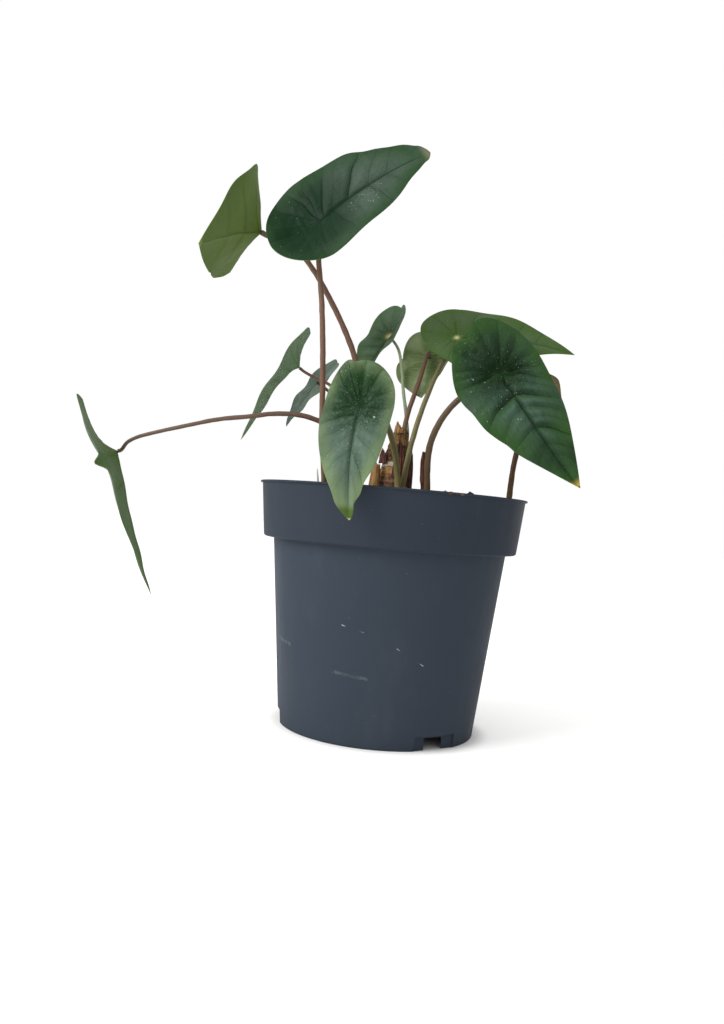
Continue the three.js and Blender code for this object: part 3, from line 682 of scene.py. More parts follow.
# Drops on the upper sides: how many, u and v ranges as shares of length and width, radii.
DROPS = {
    "top": [(40, (0.26, 0.56), (0.08, 0.5), (0.16, 0.36)), (14, (-0.9, -0.1), (-0.8, 0.8), (0.12, 0.26))],
    "right_front": [
        (200, (-0.98, 0.25), (-0.9, 0.9), (0.08, 0.22)), (8, (-0.2, 0.6), (0.1, 0.9), (0.3, 0.45)),
    ],
    "front": [
        (170, (-0.98, 0.65), (-0.95, 0.95), (0.11, 0.28)), (1, (-0.05, 0.1), (-0.65, -0.5), (0.7, 0.8)),
        (5, (-0.95, -0.6), (0.2, 0.7), (0.3, 0.45)),
    ],
    "centre": [(22, (-0.5, 0.7), (-0.8, 0.8), (0.2, 0.4))],
    "right": [(36, (-0.6, 0.3), (-0.8, 0.8), (0.16, 0.36))],
}


def outline_at(leaf, s):
    """Outline of one side, as shares of length and width: s runs from the tip, 0, to the sinus, 1."""
    x = np.clip(1 - s / TIP_SHARE, 0, 1)
    front = np.maximum(np.cos(math.pi / 2 * x ** leaf.taper), 0) ** leaf.fullness
    turn = np.clip((s - TIP_SHARE) / (1 - TIP_SHARE), 0, 1) * 90
    dip = np.maximum(0, (turn - LOBE_ROUNDING) / (90 - LOBE_ROUNDING)) ** 2
    behind = -np.sin(np.radians(turn)) * (1 - leaf.sinus * dip)
    ahead = s < TIP_SHARE
    return np.where(ahead, x, behind), np.where(ahead, front, np.cos(np.radians(turn)))


def blade_frame(leaf):
    at = np.array(leaf.at, float)
    along = np.array(leaf.tip, float) - at
    length = np.linalg.norm(along)
    along /= length
    face = np.array(leaf.face, float)
    up = unit(face - along * (face @ along))
    return at, up, length, np.stack([along, np.cross(up, along), up])


def blade_points(leaf, length, u, v, s, scale):
    x = np.maximum(0, u / length)
    w = np.maximum(0, -u / leaf.back)
    half = np.where(v < 0, leaf.left, leaf.right)
    rise = math.atan(4 * leaf.arch)
    ahead = u >= 0
    middle = rise + math.radians(leaf.lobes) * w / 2
    behind = u * (1 - leaf.skew * v / half)
    forward = np.where(ahead, u, behind * np.cos(middle))
    lift = np.where(ahead, 4 * leaf.arch * length * x * (1 - x), behind * np.sin(middle))
    shift = np.where(ahead, 4 * leaf.bow * length * x * (1 - x), (2 * leaf.bow + leaf.sway) * u)
    pitch = np.where(ahead, np.arctan(4 * leaf.arch * (1 - 2 * x)), rise + math.radians(leaf.lobes) * w)
    reach = np.hypot(u, v)
    backward = np.where(reach > 0, (1 - u / np.maximum(reach, 1e-9)) / 2, 0)
    dimple = lerp(leaf.dimple, leaf.back_dimple, backward)
    lift = lift + dimple * (1 - np.exp(-reach / leaf.neck)) * (1 - u / length)
    cup = leaf.cup * lerp(1, leaf.tip_cup, x)
    slope = np.radians(cup + leaf.curl * np.abs(v) / half / 2)
    phase = 2 * math.pi * WAVES_PER_SIDE * s + np.where(v < 0, LEFT_WAVE_SHIFT, 0)
    wave = np.sin(phase) * np.sin(math.pi * s)
    across = v * (1 - leaf.lopside * w * np.sign(v))
    raised = np.abs(across) * np.sin(slope) + scale ** 2 * wave
    return np.stack([
        forward - raised * np.sin(pitch),
        -shift - across * np.cos(slope),
        lift + raised * np.cos(pitch),
    ], -1)


def vein_fields(leaf, length, u, v, crumple):
    """Of flat points: place between two side veins, width of that gap, share of the way to the margin,
    strength of the nearest vein, distance to it, how deep they lie in its shadow, and the painted light and
    shade beside it, lighter on its tip side and darker behind it."""
    left = v < 0
    halves = np.where(left, leaf.left, leaf.right)
    share = np.abs(v) / halves
    flat = np.stack([u, v], -1)
    u = u + VEIN_SWAY * lumps(flat, VEIN_WANDER, leaf.seed + 60) * share
    u = u + leaf.jitter * lumps(flat, FINE_WANDER, leaf.seed + 61) * crumple
    table = VEIN_SETS[leaf.veins]
    curves, slopes = [], []
    nearest = np.full(len(u), FAR_FROM_VEIN)
    shadow = np.zeros(len(u))
    slant = np.zeros(len(u))
    for start, *ends in table:
        first = leaf.veer if start > 0.02 else VEIN_START_BEHIND
        curve, slope = np.zeros(len(u)), np.zeros(len(u))
        for side, s_end in ((left, ends[0]), (~left, ends[1])):
            x, y = (float(a[0]) for a in outline_at(leaf, np.array([s_end])))
            run = x * (length if x > 0 else leaf.back) - start * length
            t = share / y
            curve = np.where(side, start * length + run * (first * t + (1 - first) * t * t), curve)
            slope = np.where(side, run * (first + 2 * (1 - first) * t) / (halves * y), slope)
        curves.append(curve)
        slopes.append(slope)
        ahead = (u - curve) / np.sqrt(1 + slope ** 2)
        away = np.abs(ahead)
        strength = np.where(left, ends[2], ends[3])
        nearest = np.minimum(nearest, away + (1 - strength) * VEIN_REACH * 2)
        shadow = np.maximum(shadow, strength * smoothstep(VEIN_REACH, 0, away))
        # Painted light and shade beside the vein: lighter on its tip side, darker behind it.
        slant += strength * ahead / SLANT_WIDTH * np.exp((1 - (ahead / SLANT_WIDTH) ** 2) / 2)
    curves = np.minimum.accumulate(np.array(curves), axis=0) - 1e-3 * np.arange(len(curves))[:, None]
    beyond = PAST_LAST_VEIN * np.ones(len(u))
    phase = -np.minimum(0.5, (u - curves[0]) / beyond)
    spacing = beyond.copy()
    last = len(curves) - 1
    for k in range(last):
        between = (u <= curves[k]) & (u > curves[k + 1])
        room = curves[k] - curves[k + 1]
        tilt = np.sqrt(1 + ((slopes[k] + slopes[k + 1]) / 2) ** 2)
        phase = np.where(between, k + (curves[k] - u) / room, phase)
        spacing = np.where(between, room / tilt, spacing)
    behind = u <= curves[last]
    phase = np.where(behind, last + np.minimum(0.5, (curves[last] - u) / beyond), phase)
    row = np.clip(np.round(phase).astype(int), 0, last)
    strengths = np.array([entry[3:5] for entry in table])
    strength = np.where(left, strengths[row, 0], strengths[row, 1])
    slant = np.clip(slant, -1, 1) * (1 - 0.5 * share)
    return SimpleNamespace(phase=phase, spacing=spacing, share=share, strength=strength, nearest=nearest,
                           shadow=shadow, slant=slant)


def drop_points(centre, up, radius, rng):
    """A small dome of water."""
    side = unit(np.cross(up, rng.normal(size=3)))
    other = np.cross(up, side)
    points = []
    for i in range(DROP_ROWS):
        tilt = math.pi / 2 * i / DROP_ROWS
        for j in range(DROP_SIDES):
            turn = 2 * math.pi * j / DROP_SIDES
            flat = side * math.cos(turn) + other * math.sin(turn)
            points.append(centre + radius * (math.cos(tilt) * flat + DROP_HEIGHT * math.sin(tilt) * up))
    points += [centre - 0.1 * up, centre + radius * DROP_HEIGHT * up]
    return points, closed_faces(DROP_ROWS, DROP_SIDES)


def blade_grid(leaf, length):
    """Of all points: flat place along and across, share of the way to the rim, place in the blade's frame."""
    half, rings = leaf.half, leaf.rings
    count = 2 * half
    k = np.arange(count)
    right = k <= half
    s = np.where(right, k, count - k) / half
    x, y = outline_at(leaf, s)
    rim_u = x * np.where(x < 0, leaf.back, length)
    rim_v = np.where(k % half == 0, 0, y * np.where(right, leaf.right, -leaf.left))
    dents = np.zeros(count)
    for side, place, width, amount in leaf.dents:
        dents += side * amount * np.exp(-((s - place) / width) ** 2) * (right == (side > 0))
    scales = np.arange(1, rings + 1) / rings

    def from_middle(middle, outer):
        return np.concatenate([[middle], np.ravel(outer)])

    u = from_middle(0, np.outer(scales, rim_u))
    v = from_middle(0, np.outer(scales, rim_v))
    scale = from_middle(0, np.repeat(scales, count))
    dented = v - from_middle(0, np.outer(scales ** 4, dents))
    local = blade_points(leaf, length, u, dented, from_middle(0.5, np.tile(s, rings)), scale)
    if leaf.flap:
        place, width, start, amount = leaf.flap
        near = np.exp(-((u - place) / width) ** 2) * (v < 0)
        local[:, 2] += amount * near * smoothstep(start, 1, np.abs(v) / leaf.left)
    local[0] = 0
    return u, v, scale, local


def blade_relief(leaf, u, v, scale, veins):
    """How far each point is raised off the plain surface, and the course of the folds."""
    reach = np.hypot(u, v)
    flat = np.stack([u, v], -1)
    ahead = smoothstep(-2, 2, u)
    midrib = ahead * np.exp(-(v / MIDRIB_WIDTH) ** 2)
    groove = np.maximum(np.exp(-(veins.nearest / GROOVE_WIDTH) ** 2) * (1 - 0.8 * veins.share), midrib)
    nearest = np.minimum(veins.nearest, lerp(FAR_FROM_VEIN, np.abs(v), ahead))
    pillow = 1 - np.exp(-(nearest / VEIN_REACH) ** 1.6)
    relief = leaf.pillow * (pillow - 0.5) * (1 - 0.5 * veins.share) - leaf.groove * groove
    relief += PUCKER_DEPTH * leaf.ripple * pillow * lumps(flat * [1.0, 0.5], PUCKER_SIZE, leaf.seed)
    relief += SWELL_DEPTH * lumps(flat, SWELL_SIZE, leaf.seed + 50)
    number, depth, start = leaf.folds
    folds = np.sin(number * np.arctan2(v, u) + start) * smoothstep(1, 12, reach)
    relief += depth * folds
    relief *= smoothstep(2, 8, reach)
    relief *= 1 - scale ** 12
    return relief, folds


def blade_faces(rings, count):
    """Faces of the upper side, the lower side and the rim, and how many the upper side has."""
    total = 1 + rings * count
    faces = ring_faces(rings, count, 1) + [(0, 1 + (j + 1) % count, 1 + j) for j in range(count)]
    tops = len(faces)
    faces += shifted(faces, total, -1)
    rim = total - count
    for j in range(count):
        here, beside = rim + j, rim + (j + 1) % count
        faces.append((here, beside, beside + total, here + total))
    return faces, tops


def scatter_drops(name, leaf, length, u, v, scale, upper, normals):
    """Points and faces of a blade's drops. Their points follow the blade's own."""
    rng = np.random.default_rng(leaf.seed + 100)
    points, faces = [], []
    widths = np.where(v < 0, leaf.left, leaf.right)
    lengths = np.where(u < 0, leaf.back, length)
    for number, u_range, v_range, radii in DROPS.get(name, ()):
        inside = (u / lengths > u_range[0]) & (u / lengths < u_range[1])
        inside &= (v / widths > v_range[0]) & (v / widths < v_range[1]) & (scale > 0) & (scale < DROP_MARGIN)
        spots = np.flatnonzero(inside)
        room = np.hypot(u, v)[spots] ** 2 / scale[spots]
        for spot in rng.choice(spots, number, p=room / room.sum()):
            radius = lerp(radii[0], radii[1], rng.random() ** 2)
            more, more_faces = drop_points(upper[spot], normals[spot], radius, rng)
            faces += shifted(more_faces, 2 * len(u) + len(points))
            points += more
    return np.reshape(points, (-1, 3)), faces


def build_blade(name, leaf, skins, unders, water):
    at, up, length, turn = blade_frame(leaf)
    rings, count = leaf.rings, 2 * leaf.half
    u, v, scale, local = blade_grid(leaf, length)
    middle = at + local @ turn
    normals = normals_of(middle, ring_faces(rings, count, 1))
    normals[0] = up
    size, strongest = leaf.shade
    crumple = np.exp(-(np.hypot(np.where(u > 0, 1.4 * u, u), v) / size) ** 2)
    veins = vein_fields(leaf, length, u, v, crumple)
    relief, folds = blade_relief(leaf, u, v, scale, veins)
    middle = middle + normals * relief[:, None]
    thick = normals * (lerp(BLADE_THICKNESS * 0.8, RIM_THICKNESS, scale ** 3) / 2)[:, None]
    upper = middle + thick
    faces, tops = blade_faces(rings, count)
    drops, drop_faces = scatter_drops(name, leaf, length, u, v, scale, upper, normals)
    picks = [0] * tops + [1] * (len(faces) - tops) + [2] * len(drop_faces)

    # The sheen is partly the blade's own silver tone and partly a painted reflection of the sky.
    amount, start, full = leaf.sheen
    sheen = amount * smoothstep(start * length, full * length, u)
    sheen = sheen * (1 - strongest * crumple) * (1 - leaf.dull * smoothstep(0.3, 0.8, u / length))
    # On folded blades the sheen rises and falls with the folds: painted light and shade on their sides.
    if any(leaf.folds):
        sheen = sheen * (0.5 + 0.5 * folds)
    reach = np.hypot(u, v)
    spread = np.maximum(reach, 1) ** -0.55
    fields = dict(
        phase=veins.phase, spacing=veins.spacing, strength=veins.strength, shadow=veins.shadow,
        share=veins.share, slant=veins.slant * (1 - 0.5 * crumple), crumple=crumple, sheen=sheen,
        fan_u=u * spread, fan_v=v * spread, across=np.abs(v), along=np.maximum(u / length, 0), ahead=u,
        edge=smoothstep(leaf.edging, 1, scale), heart=np.exp(-(reach / leaf.heart) ** 2),
    )
    on_drops = np.zeros(len(drops))
    attributes = {key: np.concatenate([values, values, on_drops]) for key, values in fields.items()}
    materials = [skins[leaf.skin], unders[leaf.under], water]
    points = np.vstack([upper, middle - thick, drops])
    piece = make(f"leaf_{name}", points, faces + drop_faces, materials, attributes, picks)
    dress(piece, leaf.slot, f"blade_{name}")


# Stalks
STALK_SLOTS = {"olive": "olive_stalk", "pale": "pale_stalk"}
CLEARANCE = 0.35
STALK_END = 0.35
STALK_ROUGHNESS = 0.05
FLARE = 0.12
FLARE_LENGTH = 0.04
TUBE_SIDES = 20
TUBE_STEP = 1.6
SPLINE_SAMPLES = 40


def spline(route):
    """Centripetal Catmull-Rom curve through the route, at even steps."""
    points = [np.array(p, float) for p in route]
    last = len(points) - 1
    dense = []
    for i in range(last):
        p1, p2 = points[i], points[i + 1]
        p0 = points[i - 1] if i > 0 else 2 * points[0] - points[1]
        p3 = points[i + 2] if i + 2 <= last else 2 * points[-1] - points[-2]
        d0, d1, d2 = (math.sqrt(np.linalg.norm(b - a)) for a, b in ((p0, p1), (p1, p2), (p2, p3)))
        t1 = ((p1 - p0) / d0 - (p2 - p0) / (d0 + d1) + (p2 - p1) / d1) * d1
        t2 = ((p2 - p1) / d1 - (p3 - p1) / (d1 + d2) + (p3 - p2) / d2) * d1
        for k in range(SPLINE_SAMPLES):
            t = k / SPLINE_SAMPLES
            square, cube = -3 * p1 + 3 * p2 - 2 * t1 - t2, 2 * p1 - 2 * p2 + t1 + t2
            dense.append(p1 + t1 * t + square * t ** 2 + cube * t ** 3)
    dense.append(points[-1])
    dense = np.array(dense)
    travel = np.concatenate([[0], np.cumsum(np.linalg.norm(np.diff(dense, axis=0), axis=1))])
    steps = max(4, round(travel[-1] / TUBE_STEP))
    even = np.linspace(0, travel[-1], steps + 1)
    return np.stack([np.interp(even, travel, dense[:, k]) for k in range(3)], -1)


def tube(path, radii, roughness, seed, sides=TUBE_SIDES):
    """Closed tube along a path, with its frame carried along so that it doesn't twist."""
    tangents = np.gradient(path, axis=0)
    tangents /= np.linalg.norm(tangents, axis=1, keepdims=True)
    side = unit(np.cross(tangents[0], (0.3, 1, 0.2)))
    angles = turns(sides)
    rows = []
    for centre, tangent, radius in zip(path, tangents, radii):
        side = unit(side - tangent * (side @ tangent))
        other = np.cross(tangent, side)
        ring = np.cos(angles)[:, None] * side + np.sin(angles)[:, None] * other
        rows.append(centre + ring * radius)
    points = np.array(rows)
    points = points + (points - path[:, None]) * roughness * lumps(points, 3.5, seed)[..., None]
    points = np.vstack([points.reshape(-1, 3), path[:1], path[-1:]])
    along = np.repeat(np.linspace(0, 1, len(path)), sides)
    return points, closed_faces(len(path), sides), np.concatenate([along, [0, 1]])


def build_stalk(name, leaf, skins):
    at, up = blade_frame(leaf)[:2]
    skin, thick, thin = leaf.stalk
    end = BLADE_THICKNESS / 2 + CLEARANCE + leaf.straight
    path = spline(leaf.route + [tuple(at - up * end), tuple(at - up * STALK_END)])
    share = np.linspace(0, 1, len(path))
    radii = lerp(thick, thin, share) * (1 + FLARE * np.exp(-((share - 1) / FLARE_LENGTH) ** 2))
    points, faces, along = tube(path, radii, STALK_ROUGHNESS, len(name))
    piece = make(f"petiole_{name}", points, faces, [skins[skin]], dict(along=along))
    dress(piece, STALK_SLOTS.get(skin, "brown_stalk"), f"stalk_{name}")


# Trunk. Each ring has its height, radius and middle.
TRUNK_AXIS = (0.8, 0)
TRUNK_SIDES = 96
TRUNK_RINGS = [
    (124, 8.7, -0.4), (140, 9, -0.4), (148, 9, -0.4), (152, 8.8, -0.4), (155, 9.3, -0.4), (158, 8.8, -0.4),
    (161, 9.3, -0.4), (165, 8.9, -0.4), (168, 8.8, -0.4), (172, 7.4, 0.2), (180, 6.2, 0.9), (186, 4.8, 1.5),
    (190, 3.5, 1.8),
]
TRUNK_ROW = 0.5
TRUNK_TIP = 0.8
# Bark colours by height above the foot of the trunk's bare part.
BARK_BOTTOM = 150
BARK_TOP = 190
BARK_BANDS = [
    (150, "#573b2e"), (153, "#735542"), (154.5, "#442b21"), (156, "#7b5c49"), (158.3, "#4d3024"),
    (159.5, "#947046"), (164, "#a58254"), (164.8, "#352018"), (165.5, "#a99c8b"), (168, "#baaf9e"),
    (168.9, "#462c20"), (171, "#351d15"), (177, "#4e2c1c"), (179.5, "#452819"), (181, "#7d5c33"),
    (184, "#5c3e23"), (186.5, "#6f4f2b"), (187.5, "#2c1a10"), (189, "#5f4326"),
]


def trunk_paint():
    paint = Paint("trunk_bark")
    level = paint.part(paint.place, "Z")
    ragged = paint.noise(240, 4, 0.6)
    height = paint.math("ADD", level, paint.times(paint.math("SUBTRACT", ragged, 0.5), 0.004))
    span = (BARK_TOP - BARK_BOTTOM) * MM
    share = paint.math("DIVIDE", paint.math("SUBTRACT", height, BARK_BOTTOM * MM), span)
    base = paint.ramp(share, [((z - BARK_BOTTOM) / (BARK_TOP - BARK_BOTTOM), code) for z, code in BARK_BANDS])
    fibres = paint.noise(1100, 4, 0.65, stretch=(1, 1, 0.12))
    curls = paint.noise(420, 3, 0.6)
    strand = paint.math("ABSOLUTE", paint.math("SUBTRACT", curls, 0.5))
    strand = paint.remap(strand, 0.0, 0.018, 0.4, 0)
    base = paint.layers(
        base,
        (strand, "#ba9b6a"),
        (paint.remap(fibres, 0.52, 0.68, 0, 0.5), "#b39870"),
        (paint.remap(paint.noise(300, 3, 0.6), 0.57, 0.7, 0, 0.6), "#20110c"),
    )
    paint.set(base_color=base, roughness=paint.remap(fibres, 0.3, 0.7, 0.7, 0.9))
    normal = paint.bump(paint.math("ADD", fibres, curls), 0.8, 0.001)
    return paint.set(normal=normal, specular_ior_level=0.2)


def build_trunk():
    heights = np.arange(TRUNK_RINGS[0][0], TRUNK_RINGS[-1][0] + 0.01, TRUNK_ROW)
    ring_heights, ring_radii, ring_middles = zip(*TRUNK_RINGS)
    radii = np.interp(heights, ring_heights, ring_radii)
    middles = np.interp(heights, ring_heights, ring_middles)
    z, angle = np.meshgrid(heights, turns(TRUNK_SIDES), indexing="ij")
    radius = np.repeat(radii[:, None], TRUNK_SIDES, 1)
    around = np.stack([np.cos(angle) * 9, np.sin(angle) * 9, z * 0.35], -1)
    radius = radius * (1 + 0.05 * np.sin(3 * angle + z * 0.35))
    radius += 0.35 * lumps(around, 2.2, 5) + 0.22 * lumps(np.stack([radius * 0, angle * 0, z], -1), 1.6, 6)
    points = circled(radius, angle, z, (middles[:, None], TRUNK_AXIS[1]))
    faces = closed_faces(len(heights), TRUNK_SIDES)
    ends = [(middles[0], TRUNK_AXIS[1], heights[0]), (middles[-1], TRUNK_AXIS[1], heights[-1] + TRUNK_TIP)]
    points = np.vstack([points, ends])
    dress(make("stem", points, faces, [trunk_paint()]), "trunk", "trunk")


# Dry scales around the trunk
SCALE_THICKNESS = 0.5
SCALE_STEPS = 28
SCALES = {
    "top": dict(angle=269, bottom=187, height=7.5, span=62, radius=6, lean=-1.4, narrow=0.3, ragged=0.1,
                slant=0.6, slot="husk"),
    "left": dict(angle=206, bottom=167, height=8, span=56, radius=11, lean=-0.6, narrow=0.75, ragged=0.2),
    "front": dict(angle=276, bottom=158, height=23, span=44, radius=10.3, lean=-2.6, narrow=0.8, ragged=0.1),
    "right": dict(angle=329, bottom=152, height=20, span=56, radius=10, lean=-0.4, narrow=0.7, ragged=0.15),
}
FIRST_SCALE_SEED = 31


def build_scale(name, seed, materials, angle, bottom, height, span, radius, lean, narrow, ragged,
                slant=0, slot="dark_husk"):
    steps = np.linspace(0, 1, SCALE_STEPS + 1)
    rise, across = np.meshgrid(steps, steps, indexing="ij")
    width = span * (1 - narrow * rise ** 2)
    ragged = ragged * lumps(np.stack([across * 20, rise * 3], -1), 2.2, seed)
    turn = np.radians(width * (across - 0.5) + angle)
    r = radius + lean * rise ** 2
    r = r + 0.25 * lumps(np.stack([across * 22, rise * 4], -1), 2.5, seed + 1) + 0.2
    z = bottom + height * rise * (1 + ragged) * (1 - slant * across)
    points = [circled(r + offset, turn, z, TRUNK_AXIS) for offset in (SCALE_THICKNESS, 0)]
    row = SCALE_STEPS + 1
    quads = ring_faces(row, row, closed=False)
    back = row * row
    faces = quads + shifted(quads, back, -1)
    edge = list(range(row)) + [i * row + row - 1 for i in range(1, row)]
    edge += [back - 1 - i for i in range(1, row)] + [(row - 1 - i) * row for i in range(1, row - 1)]
    for here, beside in zip(edge, edge[1:] + edge[:1]):
        faces.append((here, here + back, beside + back, beside))
    piece = make(f"dry_scale_{name}", np.concatenate(points), faces, [materials[slot]])
    dress(piece, slot, f"scale_{name}")


ROD_SIDES = 24
RODS = {
    "stump": dict(thick=4.2, thin=2.6, rough=0.05, slot="husk", paint="stump",
                  route=[(-13.4, -8.2, 138), (-12.9, -8.2, 150), (-12.6, -8.1, 158), (-12.3, -8, 166)]),
    "sheath": dict(thick=1.8, thin=1, rough=0.12, slot="dark_husk", paint="dark_husk", route=[
        (18, -28.5, 132), (17.8, -29, 150), (16.3, -29.2, 161), (16, -29.5, 170), (16.6, -29.8, 174.5)]),
    "root_tip": dict(thick=0.8, thin=0.4, rough=0.1, slot="pale_stalk", paint="pale_stalk",
                     route=[(-46, -30, 136), (-46, -30, 147), (-47.5, -30, 159)]),
}


def build_rod(name, materials, thick, thin, rough, slot, paint, route):
    path = spline(route)
    radii = lerp(thick, thin, np.linspace(0, 1, len(path)))
    points, faces, along = tube(path, radii, rough, len(name), ROD_SIDES)
    dress(make(f"dry_{name}", points, faces, [materials[paint]], dict(along=along)), slot, name)


# Potting mix
SOIL_BELOW_RIM = 4
SOIL_MOUND = 3
SOIL_RINGS = 110
SOIL_SEGMENTS = 260
SOIL_DEPTH = 20
CHIP_COUNT = 900
CHIP_SIZES = (0.9, 3.6)
CHIP_LIFT = 0.15
CHIP_TILT = 0.45
GRIT_COUNT = 160
GRIT_SIZES = (0.6, 1.5)
ROOM_AT_BRIM = 3
# Chips heaped at the front of the rim: middle and size of each.
RIM_CHIPS = [
    (24, -78.5, 149.3, 1.1), (27.5, -78, 149.4, 1.5), (31, -78, 149.2, 1.8), (34.5, -77, 149.3, 1.3),
    (38, -76, 149, 1.4),
]
SOIL_TOP = POT_HEIGHT - SOIL_BELOW_RIM
BRIM = collar_radius(SOIL_TOP) - WALL - CLEARANCE


def soil_paints():
    """Paints of the fine mix, the bark chips and the white grit."""
    mix, chips, grit = Paint("potting_mix"), Paint("bark_chips"), Paint("white_grit")
    crumbs = mix.noise(420, 5, 0.7)
    blotch = mix.remap(mix.noise(90, 3, 0.6), 0.45, 0.7, 0, 0.6)
    base = mix.layers("#19120e", (mix.remap(crumbs, 0.4, 0.65), "#463426"), (blotch, "#281d16"))
    mix.set(base_color=base, roughness=0.95, normal=mix.bump(crumbs, 1.0, 0.0015))
    grain = chips.noise(800, 3, 0.6)
    dark = chips.remap(grain, 0.45, 0.7, 0, 0.6)
    base = chips.layers("#251812", (chips.attribute("pick"), "#62422a"), (dark, "#170f0b"))
    chips.set(base_color=base, roughness=chips.remap(grain, 0.3, 0.7, 0.75, 0.95))
    chips.set(normal=chips.bump(grain, 0.7, 0.0008))
    grain = grit.noise(1200, 3, 0.6)
    base = grit.mix(grit.remap(grain, 0.35, 0.7), "#807d73", "#c4c2b9")
    grit.set(base_color=base, roughness=0.9, normal=grit.bump(grain, 0.8, 0.0006))
    return [mix.material, chips.material, grit.material]


def soil_height(x, y):
    place = np.stack([x, y], -1)
    mound = SOIL_MOUND * (1 - (np.hypot(x, y) / BRIM) ** 2)
    crumbs = 0.9 * lumps(place, 9, 41) + 0.5 * lumps(place, 3.5, 42) + 0.25 * lumps(place, 1.6, 43)
    return SOIL_TOP + mound + crumbs


def pebble():
    ball = bmesh.new()
    bmesh.ops.create_icosphere(ball, subdivisions=2, radius=1)
    points = np.array([v.co[:] for v in ball.verts])
    faces = [tuple(v.index for v in f.verts) for f in ball.faces]
    ball.free()
    return points, faces


def chip_points(number, is_chip, ball, rng):
    """A chip or a piece of grit, lying on the mix."""
    distance = (BRIM - ROOM_AT_BRIM) * math.sqrt(rng.random())
    around = rng.uniform(0, 2 * math.pi)
    x, y = distance * math.cos(around), distance * math.sin(around)
    size = rng.uniform(*(CHIP_SIZES if is_chip else GRIT_SIZES))
    stretch = np.array([rng.uniform(0.8, 1.5), rng.uniform(0.6, 1), rng.uniform(0.3, 0.6)])
    if not is_chip:
        stretch = rng.uniform(0.7, 1.1, 3)
    shape = ball * (1 + 0.22 * lumps(ball, 0.7, 1000 + number)[:, None])
    shape = np.clip(shape, -0.8, 0.8) * size * stretch
    spin = Matrix.Rotation(rng.uniform(0, 2 * math.pi), 3, "Z")
    lean = Matrix.Rotation(rng.normal(0, CHIP_TILT), 3, "X")
    lean = lean @ Matrix.Rotation(rng.normal(0, CHIP_TILT), 3, "Y")
    shape = shape @ np.array(spin @ lean).T
    place = (x, y, soil_height(x, y) + CHIP_LIFT * size)
    if number >= CHIP_COUNT + GRIT_COUNT:
        *place, rim_size = RIM_CHIPS[number - CHIP_COUNT - GRIT_COUNT]
        shape = shape * rim_size / size
    return shape + place


def build_soil():
    radii = BRIM * np.linspace(1, 1 / SOIL_RINGS, SOIL_RINGS)
    turn = turns(SOIL_SEGMENTS)
    r, angle = np.meshgrid(radii, turn, indexing="ij")
    surface = circled(r, angle, soil_height(r * np.cos(angle), r * np.sin(angle)))
    bottom = SOIL_TOP - SOIL_DEPTH
    middles = [(0, 0, bottom), (0, 0, soil_height(0, 0))]
    blocks = [np.vstack([circled(BRIM - 2, turn, bottom), surface, middles])]
    faces = closed_faces(SOIL_RINGS + 1, SOIL_SEGMENTS)
    picks = [0] * len(faces)
    shades = [np.zeros(len(blocks[0]))]
    offset = len(blocks[0])
    ball, ball_faces = pebble()
    rng = np.random.default_rng(44)
    for number in range(CHIP_COUNT + GRIT_COUNT + len(RIM_CHIPS)):
        is_chip = not CHIP_COUNT <= number < CHIP_COUNT + GRIT_COUNT
        blocks.append(chip_points(number, is_chip, ball, rng))
        faces += shifted(ball_faces, offset)
        picks += [1 if is_chip else 2] * len(ball_faces)
        shades.append(np.full(len(ball), rng.random()))
        offset += len(ball)
    piece = make("mix", np.vstack(blocks), faces, soil_paints(), dict(pick=np.concatenate(shades)), picks)
    dress(piece, "soil", "soil")


# Tones of a blade skin: deep, sheen, vein, edge and tip, others by name where they differ, and settings.
SKINS = {
    "grey": ("#0c2512 #455448 #0c1c14 #223a21 #5d6148", {}, dict(roughness=0.4, pillow_light_and_shade=0.18)),
    "silver": ("#1c3719 #596a5e #173119 #647654 #435626", dict(end="#a9ad7c", crease="#0b1d0c"),
               dict(roughness=0.4, lines=0.6, rib=0.5, pillow_light_and_shade=0.35, crease_shade=0.85, tip_from=0.86)),
    "soft": ("#263f21 #566a53 #233a24 #425c39 #516439", dict(heart="#c2b176"), dict(roughness=0.45)),
    "light": ("#3c5624 #4c5f42 #2f471b #415a28 #3e5528", dict(heart="#bcbe80"), dict(roughness=0.45)),
    "dark": ("#0a1d06 #435a4b #0c1f0b #2a4520 #a48c3d", dict(lit="#2f4c2b", end="#4f3820", crease="#0a1b08"),
             dict(roughness=0.36, lines=0.6, ripples=0.2, rib=0.4, pillow_light_and_shade=0.6, crease_shade=0.5)),
    "dry": ("#766c53 #979279 #4f402f #60523a #79694b", {}, dict(roughness=0.75)),
}
# The undersides' tones, roughness, and how strongly side veins and ripples show.
UNDERS = {
    "olive": ("#506631 #5b7150 #3e5527 #566e41 #788547", 0.55, 0.5, 0.05),
    "warm": ("#4f6327 #5e723d #3b4d1a #566b34 #828f4f", 0.55, 0.7, 0.05),
    "lit": ("#56673e #97a57d #899671 #6e7d53 #778451", 0.55, 0.5, 0.05),
    "grey": ("#698362 #809a7c #586f42 #728c6a #828f5c", 0.55, 0.6, 0.05),
    "dusk": ("#6a8171 #879a8a #5d7368 #708879 #808e75", 0.55, 0.3, 0.05),
    "dry": ("#80765e #978c76 #56493d #685a43 #806f4d", 0.8, 0.8, 0.1),
}
# Tones of the stalks: low, middle, high and streaks.
STALKS = {
    "brown": "#605139 #654a3c #695342 #443029",
    "dun": "#65493f #5b463a #554638 #44362b",
    "rust": "#5f4e2a #432b18 #432b18 #2e1e10",
    "umber": "#66492f #5a4935 #554130 #3b2c24",
    "olive": "#7e7348 #6b6644 #6a5e44 #4d412a",
    "pale": "#7f8b6a #899478 #869272 #64704d",
}


def tones_of(codes, others=()):
    deep, sheen, vein, edge, tip = codes.split()
    usual = dict(deep=deep, sheen=sheen, vein=vein, edge=edge, tip=tip)
    usual.update(lit=sheen, crease=vein, end=tip, heart=vein)
    return SimpleNamespace(**{**usual, **dict(others)})


